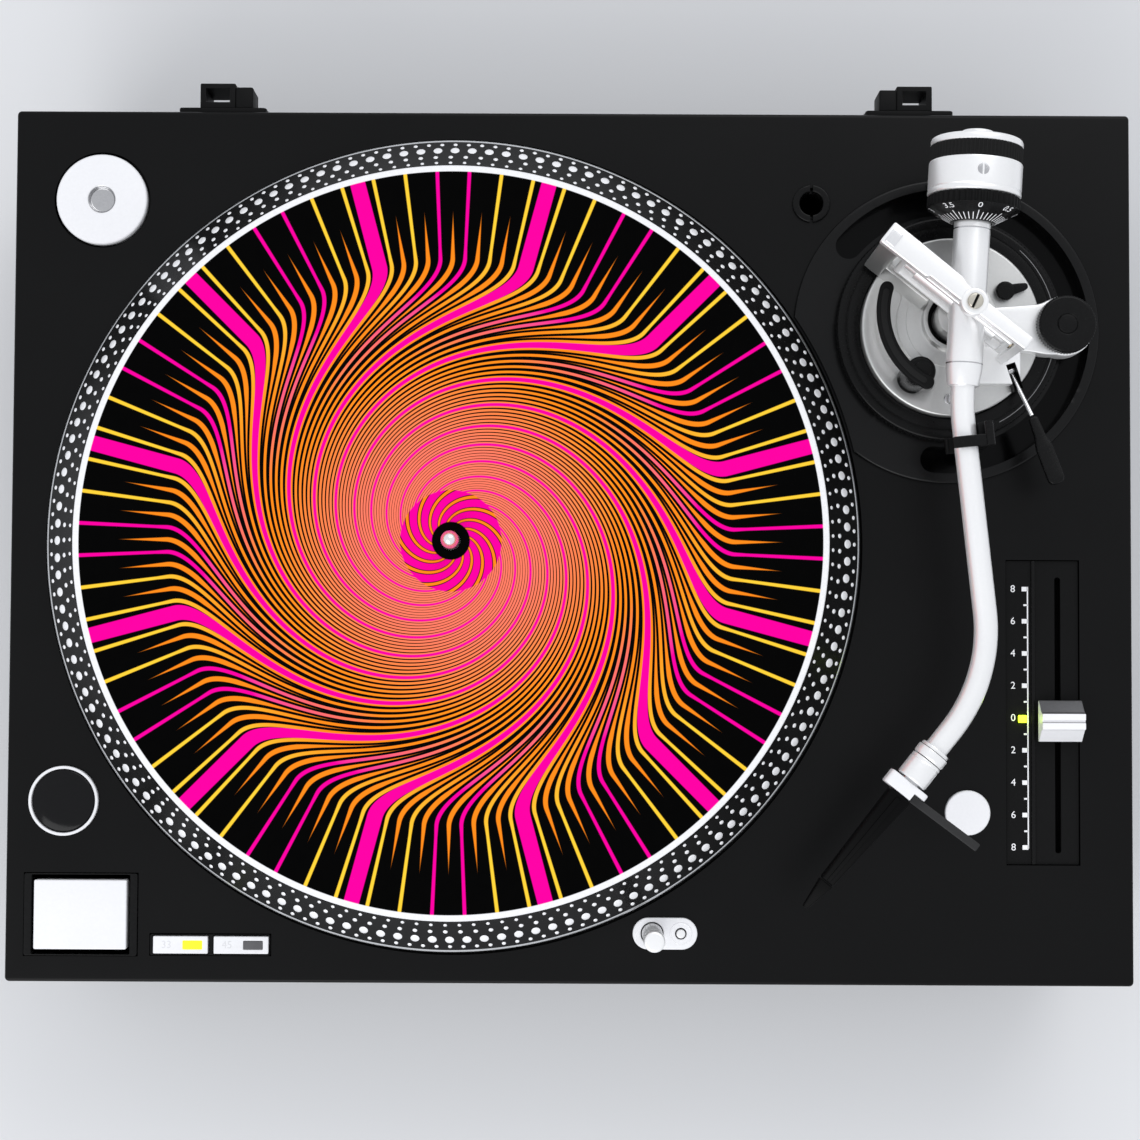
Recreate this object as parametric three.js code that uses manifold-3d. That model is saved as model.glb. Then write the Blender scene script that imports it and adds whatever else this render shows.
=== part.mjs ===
// Direct-drive record player with an S-shaped tonearm, built as separate pieces.
// Units are millimetres and +Z is up. Pieces are laid out from the middle of the
// plinth's top face, then the whole assembly is lifted so its feet stand on Z = 0.
import * as THREE from 'three';
import Module from 'manifold-3d';
import { mergeVertices } from 'three/addons/utils/BufferGeometryUtils.js';

const wasm = await Module();
wasm.setup();

// ---------------------------------------------------------------- driving sizes
const GAP = 0.3; // running gap between pieces that face each other
const PLINTH_TOP = 100; // height of the plinth's top face above the table
const CENTRE_SHIFT_Y = -6.4; // brings the box of the whole part onto the origin

const PLINTH = { width: 453, depth: 352.5, height: 48, corner: 2.4, wall: 5, plate: 4, edge: 1 };
const BASE = { width: 449, depth: 348.5, height: 21.7, corner: 4, wall: 8, floor: 8 };
const FOOT = { radius: 31, waist: 26, pad: 27, stem: 5, x: 185, y: 133, segments: 16 };

const PLATTER_AXIS = [-47.25, 0.15];
const WELL = { radius: 165, depth: 6, floor: 4, lip: 4, motorHole: 66 };
const PLATTER = { rim: 163, shoulder: 149.5, top: 23.2, rimTop: 8, bottom: -3, underside: 17, bore: 5.4 };
const MAT = { radius: 148.9, thickness: 1.6, hole: 3.9 };
const SHAFT = { radius: 3.6, hub: 5, top: 38.5, bottom: -42.5 };

const ADAPTER_AT = [-191.3, 139.7];
const ADAPTER = { radius: 18.4, recess: 19.5, depth: 5, top: 1.8, dimple: 5 };
const POWER_AT = [-203.6, -103.9];
const POWER = { ringOuter: 14, ringInner: 12.8, cap: 12.5 };
const START = { at: [-196.15, -149.3], width: 46.1, depth: 33.4, buttonWidth: 37.2, buttonDepth: 27.7 };
const SPEED = { at: [-144, -161.2], width: 48.9, depth: 9, buttonWidth: 21.9, buttonDepth: 6.9 };
const SPEED_BUTTON_X = [-155.8, -131.5];
const SPEED_LAMP = { offset: 4.8, width: 7.8, depth: 3.5 };
const TARGET = { at: [38.35, -155.8], width: 25.9, depth: 12.7, post: 4.15, top: 29, bottom: -30 };
const TARGET_POST_AT = [33.2, -155.8];
const TARGET_BUTTON_AT = [44.7, -155.8];
const RESET_AT = [159.8, -107];
const RESET_RADIUS = 9;
const PITCH = { x: [175.5, 205.2], y: [-128, -5.2], floor: -1.2, under: -4.2, slotX: 196.6, slotHalf: 1.2 };
const PITCH_RIB = [185.9, 187.4];
const FADER = { y: -70, halfLength: 8.25, halfWidth: 8.65, bottom: 2.4, top: 11 };
const FADER_SLOT = [-123.2, -12.1];
const PITCH_LAMP_AT = [182.2, -69.3];
const HOLDER_AT = [97, 139.4];
const HINGE_X = [-143.5, 137.7];

const ARM_BASE_AT = [151.6, 87.4];
const ARM_BASE = { outer: 61.9, body: 59.2, bore: 30.6, top: 2, bottom: -9 };
const CHANNEL = { radius: 52.5, half: 5.3, floor: -6.5, from: -96, to: 139 };
const HEIGHT_RING = { inner: 36.3, outer: 45.3, bottom: 2.3, top: 8.5 };
const PLATE = { radius: 35.8, bottom: 3, top: 13, hub: 30, hubBottom: -8 };
const PIVOT = [151.9, 89.4];
const ANTI_SKATE_AT = [195.6, 87.1];
const ANTI_SKATE_RADIUS = 11.5;
const LOCK_AT = [172.7, 101.5];
const LIFTER = { radius: 31, half: 2.6, from: 163, to: 243, bottom: 37.3, top: 40.3 };
const LIFTER_POST_AT = [136.2, 66.8];
const CUE_HINGE = [174.9, 69.5, 14.6];
const CUE_ELBOW = [181.5, 50.5, 24];
const CUE_END = [190.8, 23.5, 27.5];

const ARM_HEIGHT = 48; // tube axis above the plinth's top face
const TUBE_RADIUS = 4.55;
const REAR_HEADING = 3.5; // degrees from straight to the front, positive towards the platter
const MID_HEADING = -6.3;
const HEAD_HEADING = 38.5;
const TO_FIRST_BEND = 38.3;
const BETWEEN_BENDS = 104.4;
const BEND_RADIUS = [80, 62];
const HOUSING = { radius: 7, rear: 46.5, front: 24, nose: 30.5, shaft: 4.6, shaftEnd: 62.5 };
const CROSS = { radius: 4.1, left: -29, right: 18.6, pin: 1.2 };
const YOKE = { left: -31.5, right: 21.2, half: 3.5, bottom: 34.5, top: 58.7, bar: 2.6, side: 2.2 };
const BRIDGE = { left: -42.2, right: 26.1, bottom: 59.6, top: 64, leg: 8.6, end: 3.8 };
const WEIGHT = { radius: 18.1, front: 42.6, groove: 55.6, disc: 61.9, rear: 64.5, boss: 68.4 };
const DIAL = { radius: 17.9, face: 32.6, knurl: 37.8, rear: 42.3, bore: 7.35 };

// ---------------------------------------------------------------- small helpers
const radians = (degrees) => (degrees * Math.PI) / 180;
const heading = (degrees) => [-Math.sin(radians(degrees)), -Math.cos(radians(degrees))];
const step = ([x, y], [dx, dy], distance) => [x + dx * distance, y + dy * distance];

// Indexed copy without normals, seams or flat triangles, with its faces outwards.
function clean(geometry) {
  const bare = geometry.clone();
  bare.deleteAttribute('normal');
  bare.deleteAttribute('uv');
  const merged = mergeVertices(bare, 1e-4);
  const at = merged.attributes.position;
  const triangles = [];
  let volume = 0;
  const [a, b, c] = [new THREE.Vector3(), new THREE.Vector3(), new THREE.Vector3()];
  for (let i = 0; i < merged.index.count; i += 3) {
    const corners = [merged.index.getX(i), merged.index.getX(i + 1), merged.index.getX(i + 2)];
    if (new Set(corners).size < 3) continue;
    a.fromBufferAttribute(at, corners[0]);
    b.fromBufferAttribute(at, corners[1]);
    c.fromBufferAttribute(at, corners[2]);
    volume += a.dot(b.cross(c));
    triangles.push(...corners);
  }
  if (volume < 0) triangles.reverse();
  merged.setIndex(triangles);
  return merged;
}

function toSolid(geometry) {
  const tidy = clean(geometry);
  return new wasm.Manifold(new wasm.Mesh({
    numProp: 3,
    vertProperties: new Float32Array(tidy.attributes.position.array),
    triVerts: new Uint32Array(tidy.index.array),
  }));
}

function fromSolid(solid) {
  const mesh = solid.getMesh();
  const geometry = new THREE.BufferGeometry();
  geometry.setAttribute('position', new THREE.BufferAttribute(new Float32Array(mesh.vertProperties), 3));
  geometry.setIndex(new THREE.BufferAttribute(new Uint32Array(mesh.triVerts), 1));
  return geometry;
}

function join(...pieces) {
  return fromSolid(pieces.map(toSolid).reduce((sum, piece) => sum.add(piece)));
}

function cut(body, ...tools) {
  return fromSolid(tools.map(toSolid).reduce((rest, tool) => rest.subtract(tool), toSolid(body)));
}

function post(radius, bottom, top, [x, y] = [0, 0], segments = 20) {
  const geometry = new THREE.CylinderGeometry(radius, radius, top - bottom, segments);
  geometry.rotateX(Math.PI / 2);
  geometry.translate(x, y, (bottom + top) / 2);
  return geometry;
}

function block(x0, x1, y0, y1, z0, z1) {
  const geometry = new THREE.BoxGeometry(x1 - x0, y1 - y0, z1 - z0);
  geometry.translate((x0 + x1) / 2, (y0 + y1) / 2, (z0 + z1) / 2);
  return geometry;
}

// Solid of revolution about a vertical axis, from [radius, height] points.
function turned(profile, [x, y] = [0, 0], segments = 24) {
  const points = profile.map(([radius, z]) => new THREE.Vector2(radius, z));
  const geometry = new THREE.LatheGeometry(points, segments);
  geometry.rotateX(Math.PI / 2);
  geometry.translate(x, y, 0);
  return geometry;
}

function ringSolid(inner, outer, bottom, top, at, segments) {
  const profile = [[inner, bottom], [outer, bottom], [outer, top], [inner, top], [inner, bottom]];
  return turned(profile, at, segments);
}

function outline(points) {
  return new THREE.Shape(points.map(([x, y]) => new THREE.Vector2(x, y)));
}

function roundedRectangle(width, depth, radius, [x, y] = [0, 0]) {
  const [w, d] = [width / 2 - radius, depth / 2 - radius];
  const shape = new THREE.Shape();
  shape.absarc(x + w, y + d, radius, 0, Math.PI / 2, false);
  shape.absarc(x - w, y + d, radius, Math.PI / 2, Math.PI, false);
  shape.absarc(x - w, y - d, radius, Math.PI, Math.PI * 1.5, false);
  shape.absarc(x + w, y - d, radius, Math.PI * 1.5, Math.PI * 2, false);
  return shape;
}

// Part of a flat ring with round ends.
function arcBand(radius, half, from, to, [x, y]) {
  const shape = new THREE.Shape();
  const [a, b] = [radians(from), radians(to)];
  shape.absarc(x, y, radius + half, a, b, false);
  shape.absarc(x + radius * Math.cos(b), y + radius * Math.sin(b), half, b, b + Math.PI, false);
  shape.absarc(x, y, radius - half, b, a, true);
  shape.absarc(x + radius * Math.cos(a), y + radius * Math.sin(a), half, a + Math.PI, a + 2 * Math.PI, false);
  return shape;
}

function slab(shape, bottom, top, { edge = 0, arcs = 4 } = {}) {
  const geometry = new THREE.ExtrudeGeometry(shape, {
    depth: top - bottom - 2 * edge,
    curveSegments: arcs,
    bevelEnabled: edge > 0,
    bevelThickness: edge,
    bevelSize: edge,
    bevelOffset: -edge,
    bevelSegments: 1,
  });
  geometry.translate(0, 0, bottom + edge);
  return geometry;
}

// Lays a piece built along its own z onto a level direction: x becomes the side, y stays up.
function lay(geometry, [x, y], [dx, dy], z = ARM_HEIGHT) {
  const side = new THREE.Vector3(-dy, dx, 0);
  const up = new THREE.Vector3(0, 0, 1);
  const along = new THREE.Vector3(dx, dy, 0);
  geometry.applyMatrix4(new THREE.Matrix4().makeBasis(side, up, along).setPosition(x, y, z));
  return geometry;
}

// Round bar between two points in space.
function rod(from, to, radius, segments = 12) {
  const [a, b] = [new THREE.Vector3(...from), new THREE.Vector3(...to)];
  const direction = b.clone().sub(a);
  const geometry = new THREE.CylinderGeometry(radius, radius, direction.length(), segments);
  const turn = new THREE.Quaternion().setFromUnitVectors(new THREE.Vector3(0, 1, 0), direction.normalize());
  geometry.applyQuaternion(turn);
  geometry.translate((a.x + b.x) / 2, (a.y + b.y) / 2, (a.z + b.z) / 2);
  return geometry;
}

// Tapered bar along z with a rectangular section at each end: [x0, x1, y0, y1, z].
function taper(near, far) {
  const corners = ([x0, x1, y0, y1, z]) => [[x0, y0, z], [x1, y0, z], [x1, y1, z], [x0, y1, z]];
  const geometry = new THREE.BufferGeometry();
  const points = [...corners(near), ...corners(far)].flat();
  geometry.setAttribute('position', new THREE.Float32BufferAttribute(points, 3));
  const sides = [0, 1, 2, 3].flatMap((i) => {
    const next = (i + 1) % 4;
    return [i, next, next + 4, i, next + 4, i + 4];
  });
  geometry.setIndex([0, 2, 1, 0, 3, 2, 4, 5, 6, 4, 6, 7, ...sides]);
  return geometry;
}

// ---------------------------------------------------------------- the arm's centre line
const REAR = heading(REAR_HEADING);
const MID = heading(MID_HEADING);
const HEAD = heading(HEAD_HEADING);
const CROSS_DIRECTION = [-HEAD[1], HEAD[0]]; // the tilt axis, square to the pickup
const FIRST_BEND = step(PIVOT, REAR, TO_FIRST_BEND);
const SECOND_BEND = step(FIRST_BEND, MID, BETWEEN_BENDS);
const REARWARD = [-REAR[0], -REAR[1]];
const COLLAR = { start: 33.5, shoulder: 36.2, end: 40 };

// Points round one bend, from the end of one straight to the start of the next.
function bendPoints(corner, before, after, radius, count) {
  const turn = Math.acos(before[0] * after[0] + before[1] * after[1]);
  const tangent = radius * Math.tan(turn / 2);
  const start = step(corner, before, -tangent);
  const sign = Math.sign(before[0] * after[1] - before[1] * after[0]);
  const centre = step(start, [-before[1] * sign, before[0] * sign], radius);
  return Array.from({ length: count + 1 }, (_, i) => {
    const angle = sign * ((turn * i) / count);
    const [px, py] = [start[0] - centre[0], start[1] - centre[1]];
    return [
      centre[0] + px * Math.cos(angle) - py * Math.sin(angle),
      centre[1] + px * Math.sin(angle) + py * Math.cos(angle),
    ];
  });
}

function tubeCentreLine() {
  return [
    step(PIVOT, REAR, HOUSING.front + 2 * GAP),
    ...bendPoints(FIRST_BEND, REAR, MID, BEND_RADIUS[0], 3),
    ...bendPoints(SECOND_BEND, MID, HEAD, BEND_RADIUS[1], 7),
    step(SECOND_BEND, HEAD, COLLAR.shoulder),
  ];
}

// A path that visits its points one per extrusion step, however far apart they lie.
class VisitPath extends THREE.Curve {
  constructor(points) {
    super();
    this.points = points.map(([x, y]) => new THREE.Vector3(x, y, ARM_HEIGHT));
  }

  getPoint(u, target = new THREE.Vector3()) {
    const place = u * (this.points.length - 1);
    const i = Math.min(Math.floor(place), this.points.length - 2);
    return target.copy(this.points[i]).lerp(this.points[i + 1], place - i);
  }

  getPointAt(u, target) {
    return this.getPoint(u, target);
  }

  getTangentAt(u, target = new THREE.Vector3()) {
    const i = Math.round(u * (this.points.length - 1));
    const before = this.points[Math.max(i - 1, 0)];
    const here = this.points[i];
    const after = this.points[Math.min(i + 1, this.points.length - 1)];
    const into = here.clone().sub(before).normalize();
    const out = after.clone().sub(here).normalize();
    return target.copy(into).add(out).normalize();
  }
}

// ---------------------------------------------------------------- plinth and base
function platterClearance(radius, bottom, top) {
  return post(radius, bottom, top, PLATTER_AXIS, 48);
}

function armBaseOutline(radius, clearance, bottom, top) {
  return cut(post(radius, bottom, top, ARM_BASE_AT, 32), platterClearance(clearance, bottom - 1, top + 1));
}

function centredOpening({ at, width, depth }, bottom) {
  return block(at[0] - width / 2, at[0] + width / 2, at[1] - depth / 2, at[1] + depth / 2, bottom, 1);
}

const REAR_WINDOW = { x: [20, 100], z: [-42, -18] };

function plinthTop() {
  const { width, depth, height, corner, wall, plate, edge } = PLINTH;
  const outside = slab(roundedRectangle(width, depth, corner), -height, 0, { edge, arcs: 3 });
  const hollow = block(-width / 2 + wall, width / 2 - wall, -depth / 2 + wall, depth / 2 - wall,
    -height - 1, -plate);
  const wellPan = post(WELL.radius + WELL.lip, -WELL.depth - WELL.floor, -plate / 2, PLATTER_AXIS, 48);
  const adapterPan = post(ADAPTER.recess + 3, -ADAPTER.depth - 3, -plate / 2, ADAPTER_AT, 18);
  const shell = join(cut(outside, hollow), wellPan, adapterPan);
  const through = -PLINTH.height / 2;
  const { x, z } = REAR_WINDOW;
  return cut(
    shell,
    post(WELL.radius, -WELL.depth, 1, PLATTER_AXIS, 48),
    post(WELL.motorHole, -WELL.depth - WELL.floor - 1, 0, PLATTER_AXIS, 32),
    post(ADAPTER.recess, -ADAPTER.depth, 1, ADAPTER_AT, 24),
    post(POWER.ringOuter + GAP, through, 1, POWER_AT, 24),
    centredOpening(START, through),
    centredOpening(SPEED, through),
    post(TARGET.post + 1, through, 1, TARGET_POST_AT, 20),
    post(3, through, 1, TARGET_BUTTON_AT, 16),
    post(RESET_RADIUS + GAP, through, 1, RESET_AT, 24),
    block(PITCH.x[0], PITCH.x[1], PITCH.y[0], PITCH.y[1], through, 1),
    post(6.6, through, 1, HOLDER_AT, 20),
    armBaseOutline(ARM_BASE.body + 0.4, WELL.radius + 2.2, through, 1),
    block(x[0], x[1], depth / 2 - wall - 1, depth / 2 + 1, z[0], z[1]),
  );
}

function rubberBase() {
  const { width, depth, height, corner, wall, floor } = BASE;
  const top = -PLINTH.height - GAP;
  const outside = slab(roundedRectangle(width, depth, corner), top - height, top, { edge: 1.5, arcs: 3 });
  const hollow = block(-width / 2 + wall, width / 2 - wall, -depth / 2 + wall, depth / 2 - wall,
    top - height + floor, top + 1);
  const stems = footPlaces().map((at) => post(FOOT.stem + 0.4, top - height - 1, 0, at, 16));
  return cut(outside, hollow, ...stems);
}

function footPlaces() {
  return [[-FOOT.x, -FOOT.y], [FOOT.x, -FOOT.y], [-FOOT.x, FOOT.y], [FOOT.x, FOOT.y]];
}

function foot(at) {
  const top = -PLINTH.height - GAP - BASE.height - GAP;
  return turned([
    [0, -PLINTH_TOP], [FOOT.pad, -PLINTH_TOP], [FOOT.pad, -PLINTH_TOP + 3], [FOOT.waist, -PLINTH_TOP + 4.5],
    [FOOT.radius, -PLINTH_TOP + 9], [FOOT.radius, top - 2], [FOOT.radius - 2, top],
    [FOOT.stem, top], [FOOT.stem, top + 11], [0, top + 11],
  ], at, FOOT.segments);
}

// Rear bracket that takes one tongue of a dust cover; mirrored for the other side.
function hingeBracket(x, mirror) {
  const rear = PLINTH.depth / 2 + GAP;
  const side = (a, b) => [x + mirror * a, x + mirror * b].sort((p, q) => p - q);
  const flange = block(...side(-17.9, 17.9), rear, rear + 2.4, -24, -4);
  const socket = block(...side(-9.2, 5.3), rear + 2, rear + 12.4, -24, -4);
  const rib = block(...side(5.2, 12.4), rear + 2, rear + 10.9, -20, -4);
  const mouth = block(...side(-6.8, 2.9), rear + 4.6, rear + 10.4, -25, 0);
  return cut(join(flange, socket, rib), mouth);
}

// ---------------------------------------------------------------- inside the plinth
function boxAt([x, y], width, depth, bottom, top) {
  return block(x - width / 2, x + width / 2, y - depth / 2, y + depth / 2, bottom, top);
}

function transformer() {
  const at = [-140, 105];
  const floor = -PLINTH.height - GAP - BASE.height + BASE.floor;
  return join(
    boxAt(at, 62, 50, floor + GAP, floor + 6),
    boxAt(at, 54, 44, floor + 5, floor + 40),
    boxAt(at, 34, 56, floor + 9, floor + 36),
  );
}

function mainBoard() {
  const bottom = -36;
  const top = bottom + 1.6;
  const chips = [[15, -110, 24, 12], [52, -118, 16, 16], [88, -104, 20, 10], [112, -126, 12, 18]];
  return join(
    boxAt([65, -110], 150, 60, bottom, top),
    ...chips.map(([x, y, w, d]) => boxAt([x, y], w, d, top - 0.5, top + 3)),
    post(5, top - 0.5, top + 12, [4, -127], 16),
    post(5, top - 0.5, top + 12, [18, -129], 16),
  );
}

// Rear panel with a power inlet, two signal jacks and a ground post.
function terminalPanel() {
  const { x, z } = REAR_WINDOW;
  const rear = PLINTH.depth / 2;
  const middle = (z[0] + z[1]) / 2;
  const plate = block(x[0] + GAP, x[1] - GAP, rear - 4, rear - 1, z[0] + GAP, z[1] - GAP);
  const inlet = block(x[0] + 3, x[0] + 31, rear - 18, rear - 2, z[0] + 3, z[1] - 3);
  const mouth = block(x[0] + 5.5, x[0] + 28.5, rear - 14, rear, z[0] + 5.5, z[1] - 5.5);
  const stub = (place, reach, radius) => (
    rod([place, rear - 2, middle], [place, rear + reach, middle], radius, 16)
  );
  const jacks = [x[0] + 42, x[0] + 57].map((place) => stub(place, 6, 4.2));
  const ground = stub(x[0] + 71, 5, 2.6);
  return join(cut(join(plate, inlet), mouth), ...jacks, ground);
}

function statorBoard() {
  const top = -WELL.depth - WELL.floor - GAP;
  return ringSolid(9, 72, top - 1.7, top, PLATTER_AXIS, 28);
}

// Ring of flat coils: a core with one lobe per winding.
function statorCoils() {
  const windings = 9;
  const shape = new THREE.Shape();
  const samples = windings * 6;
  for (let i = 0; i < samples; i += 1) {
    const angle = (2 * Math.PI * i) / samples;
    const radius = 45 + 6 * Math.cos(windings * angle);
    const [x, y] = [PLATTER_AXIS[0] + radius * Math.cos(angle), PLATTER_AXIS[1] + radius * Math.sin(angle)];
    if (i === 0) shape.moveTo(x, y);
    else shape.lineTo(x, y);
  }
  const hole = new THREE.Path();
  hole.absarc(PLATTER_AXIS[0], PLATTER_AXIS[1], 17, 0, 2 * Math.PI, true);
  shape.holes.push(hole);
  return slab(shape, -WELL.depth - WELL.floor, 7, { arcs: 8 });
}

function bearingHousing() {
  const seat = -WELL.depth - WELL.floor;
  return turned([
    [0, -46], [8.6, -46], [8.6, seat], [15.5, seat], [15.5, seat + 3], [8.6, seat + 3],
    [8.6, 8], [SHAFT.radius + GAP, 8], [SHAFT.radius + GAP, -43], [0, -43],
  ], PLATTER_AXIS, 18);
}

// ---------------------------------------------------------------- platter
function platter() {
  return turned([
    [PLATTER.bore, 12], [18, 12], [22, PLATTER.underside], [144, PLATTER.underside],
    [157, PLATTER.bottom], [PLATTER.rim, PLATTER.bottom], [PLATTER.rim, PLATTER.rimTop - 0.5],
    [PLATTER.rim - 0.6, PLATTER.rimTop], [PLATTER.rim - 1.8, PLATTER.rimTop + 0.6],
    [PLATTER.shoulder + 0.8, PLATTER.top - 0.7], [PLATTER.shoulder, PLATTER.top],
    [PLATTER.bore, PLATTER.top], [PLATTER.bore, 12],
  ], PLATTER_AXIS, 48);
}

function rotorMagnet() {
  return ringSolid(55, 62, -4, PLATTER.underside - GAP, PLATTER_AXIS, 32);
}

function spindle() {
  const { radius, hub, top, bottom } = SHAFT;
  return turned([
    [0, bottom], [radius, bottom], [radius, 9], [hub, 10.5], [hub, PLATTER.top - 0.2], [radius, PLATTER.top],
    [radius, top - 3.2], [radius * 0.86, top - 1.5], [radius * 0.5, top - 0.4], [0, top],
  ], PLATTER_AXIS, 18);
}

function slipmat() {
  const bottom = PLATTER.top + GAP;
  return ringSolid(MAT.hole, MAT.radius, bottom, bottom + MAT.thickness, PLATTER_AXIS, 48);
}

function adapter() {
  const bottom = -ADAPTER.depth + GAP;
  const { radius, top, dimple } = ADAPTER;
  return turned([
    [0, bottom + 4], [3.7, bottom + 4], [3.7, bottom], [radius - 0.6, bottom], [radius, bottom + 0.6],
    [radius, top - 0.5], [radius - 0.5, top], [dimple + 1.1, top], [dimple, top - 0.4],
    [dimple * 0.6, top - 1], [0, top - 1.2],
  ], ADAPTER_AT, 24);
}

// ---------------------------------------------------------------- controls
function powerRing() {
  return ringSolid(POWER.ringInner, POWER.ringOuter, -8, 1.4, POWER_AT, 28);
}

function powerButton() {
  const { cap } = POWER;
  return turned([
    [0, -12], [cap - 2, -12], [cap, -10], [cap, 0.6], [cap * 0.75, 1.5], [cap * 0.4, 1.9], [0, 2],
  ], POWER_AT, 24);
}

function frameRing({ at, width, depth }, openings, bottom, top) {
  const body = boxAt(at, width - 2 * GAP, depth - 2 * GAP, bottom, top);
  const holes = openings.map(([place, w, d]) => boxAt(place, w, d, bottom - 1, top + 1));
  return cut(body, ...holes);
}

function startFrame() {
  const opening = [START.at, START.buttonWidth + 1.4, START.buttonDepth + 1.4];
  return frameRing(START, [opening], -8, 0.5);
}

function startButton() {
  const shape = roundedRectangle(START.buttonWidth, START.buttonDepth, 1, START.at);
  return slab(shape, -7, 1.6, { edge: 0.5, arcs: 2 });
}

function speedFrame() {
  const { at, buttonWidth, buttonDepth } = SPEED;
  const openings = SPEED_BUTTON_X.map((x) => [[x, at[1]], buttonWidth + 0.8, buttonDepth + 0.8]);
  return frameRing(SPEED, openings, -6, 0.4);
}

function speedButton(x) {
  const y = SPEED.at[1];
  const shape = roundedRectangle(SPEED.buttonWidth, SPEED.buttonDepth, 0.6, [x, y]);
  const body = slab(shape, -5, 1.4, { edge: 0.3, arcs: 2 });
  const window = boxAt([x + SPEED_LAMP.offset, y], SPEED_LAMP.width, SPEED_LAMP.depth, -0.4, 3);
  return cut(body, window);
}

function speedLamp(x) {
  const at = [x + SPEED_LAMP.offset, SPEED.at[1]];
  return boxAt(at, SPEED_LAMP.width - 0.4, SPEED_LAMP.depth - 0.4, -0.2, 1.5);
}

function targetPlate() {
  const { at, width, depth } = TARGET;
  const body = slab(roundedRectangle(width, depth, depth / 2 - 0.3, at), GAP, 1.5, { edge: 0.4, arcs: 5 });
  return cut(body,
    post(TARGET.post + 0.4, -1, 3, TARGET_POST_AT, 18),
    post(2.2, -1, 3, TARGET_BUTTON_AT, 16));
}

function targetPost() {
  const { post: radius, top, bottom } = TARGET;
  return turned([
    [0, bottom], [radius, bottom], [radius, top - 0.7], [radius - 0.7, top], [0, top],
  ], TARGET_POST_AT, 18);
}

function resetButton() {
  return turned([
    [0, -6], [RESET_RADIUS, -6], [RESET_RADIUS, 1.6], [RESET_RADIUS - 0.5, 2.1], [0, 2.1],
  ], RESET_AT, 24);
}

function pitchPanel() {
  const [x0, x1] = [PITCH.x[0] + GAP, PITCH.x[1] - GAP];
  const [y0, y1] = [PITCH.y[0] + GAP, PITCH.y[1] - GAP];
  const plate = block(x0, x1, y0, y1, PITCH.under, PITCH.floor);
  const rib = block(PITCH_RIB[0], PITCH_RIB[1], y0, y1, PITCH.floor - 1, -0.3);
  const { slotX, slotHalf, under } = PITCH;
  const slot = block(slotX - slotHalf, slotX + slotHalf, ...FADER_SLOT, under - 1, 1);
  const lampSeat = boxAt(PITCH_LAMP_AT, 4, 3.6, -2.6, 0);
  return cut(join(plate, rib), slot, lampSeat);
}

function pitchLamp() {
  return boxAt(PITCH_LAMP_AT, 3.6, 3.2, -2.4, -0.7);
}

// Track under the pitch panel, open along its top for the fader's stem.
function faderTrack() {
  const x = PITCH.slotX;
  const [front, rear] = FADER_SLOT;
  const body = block(x - 6.5, x + 6.5, front - 4, rear + 4, -17, PITCH.under - GAP);
  const channel = block(x - 3.2, x + 3.2, front - 2, rear + 2, -14, 0);
  return cut(body, channel);
}

function faderKnob() {
  const { halfLength, halfWidth, bottom, top, y } = FADER;
  const profile = outline([
    [-halfLength, bottom], [halfLength, bottom], [halfLength, bottom + 1.2], [3.4, top - 1.6], [3.2, top],
    [0.35, top], [0, top - 0.5], [-0.35, top], [-3.2, top], [-3.4, top - 1.6], [-halfLength, bottom + 1.2],
  ]);
  const cap = slab(profile, -halfWidth, halfWidth);
  cap.rotateY(Math.PI / 2);
  cap.rotateX(Math.PI / 2);
  cap.translate(PITCH.slotX, y, 0);
  const stem = boxAt([PITCH.slotX, y], 1.6, 5, -10, bottom + 0.5);
  return join(cap, stem);
}

function headshellHolder() {
  const ring = turned([
    [4.7, -14], [6.3, -14], [6.3, GAP], [7.7, GAP], [7.7, 1], [7.3, 1.4], [4.7, 1.4], [4.7, -14],
  ], HOLDER_AT, 20);
  const [x, y] = HOLDER_AT;
  return cut(ring, block(x + 0.2, x + 3, y + 5, y + 9, -3, 3), block(x - 3, x - 0.2, y - 9, y - 5, -3, 3));
}

// ---------------------------------------------------------------- arm base
function armBaseHousing() {
  const flange = armBaseOutline(ARM_BASE.outer, WELL.radius + 0.8, GAP, ARM_BASE.top);
  const body = armBaseOutline(ARM_BASE.body, WELL.radius + 3, ARM_BASE.bottom, GAP + 0.1);
  const { radius, half, from, to, floor } = CHANNEL;
  const channel = slab(arcBand(radius, half, from, to, ARM_BASE_AT), floor, 3, { arcs: 8 });
  return cut(join(flange, body), post(ARM_BASE.bore, -20, 5, ARM_BASE_AT, 28), channel);
}

function heightRing() {
  const { inner, outer, bottom, top } = HEIGHT_RING;
  return turned([
    [inner, bottom], [outer, bottom], [outer, top - 0.8], [outer - 0.8, top], [inner, top], [inner, bottom],
  ], ARM_BASE_AT, 32);
}

const RAISED = 19; // top of the raised parts of the arm's base plate
const HUB_TOP = 30.7;

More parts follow.
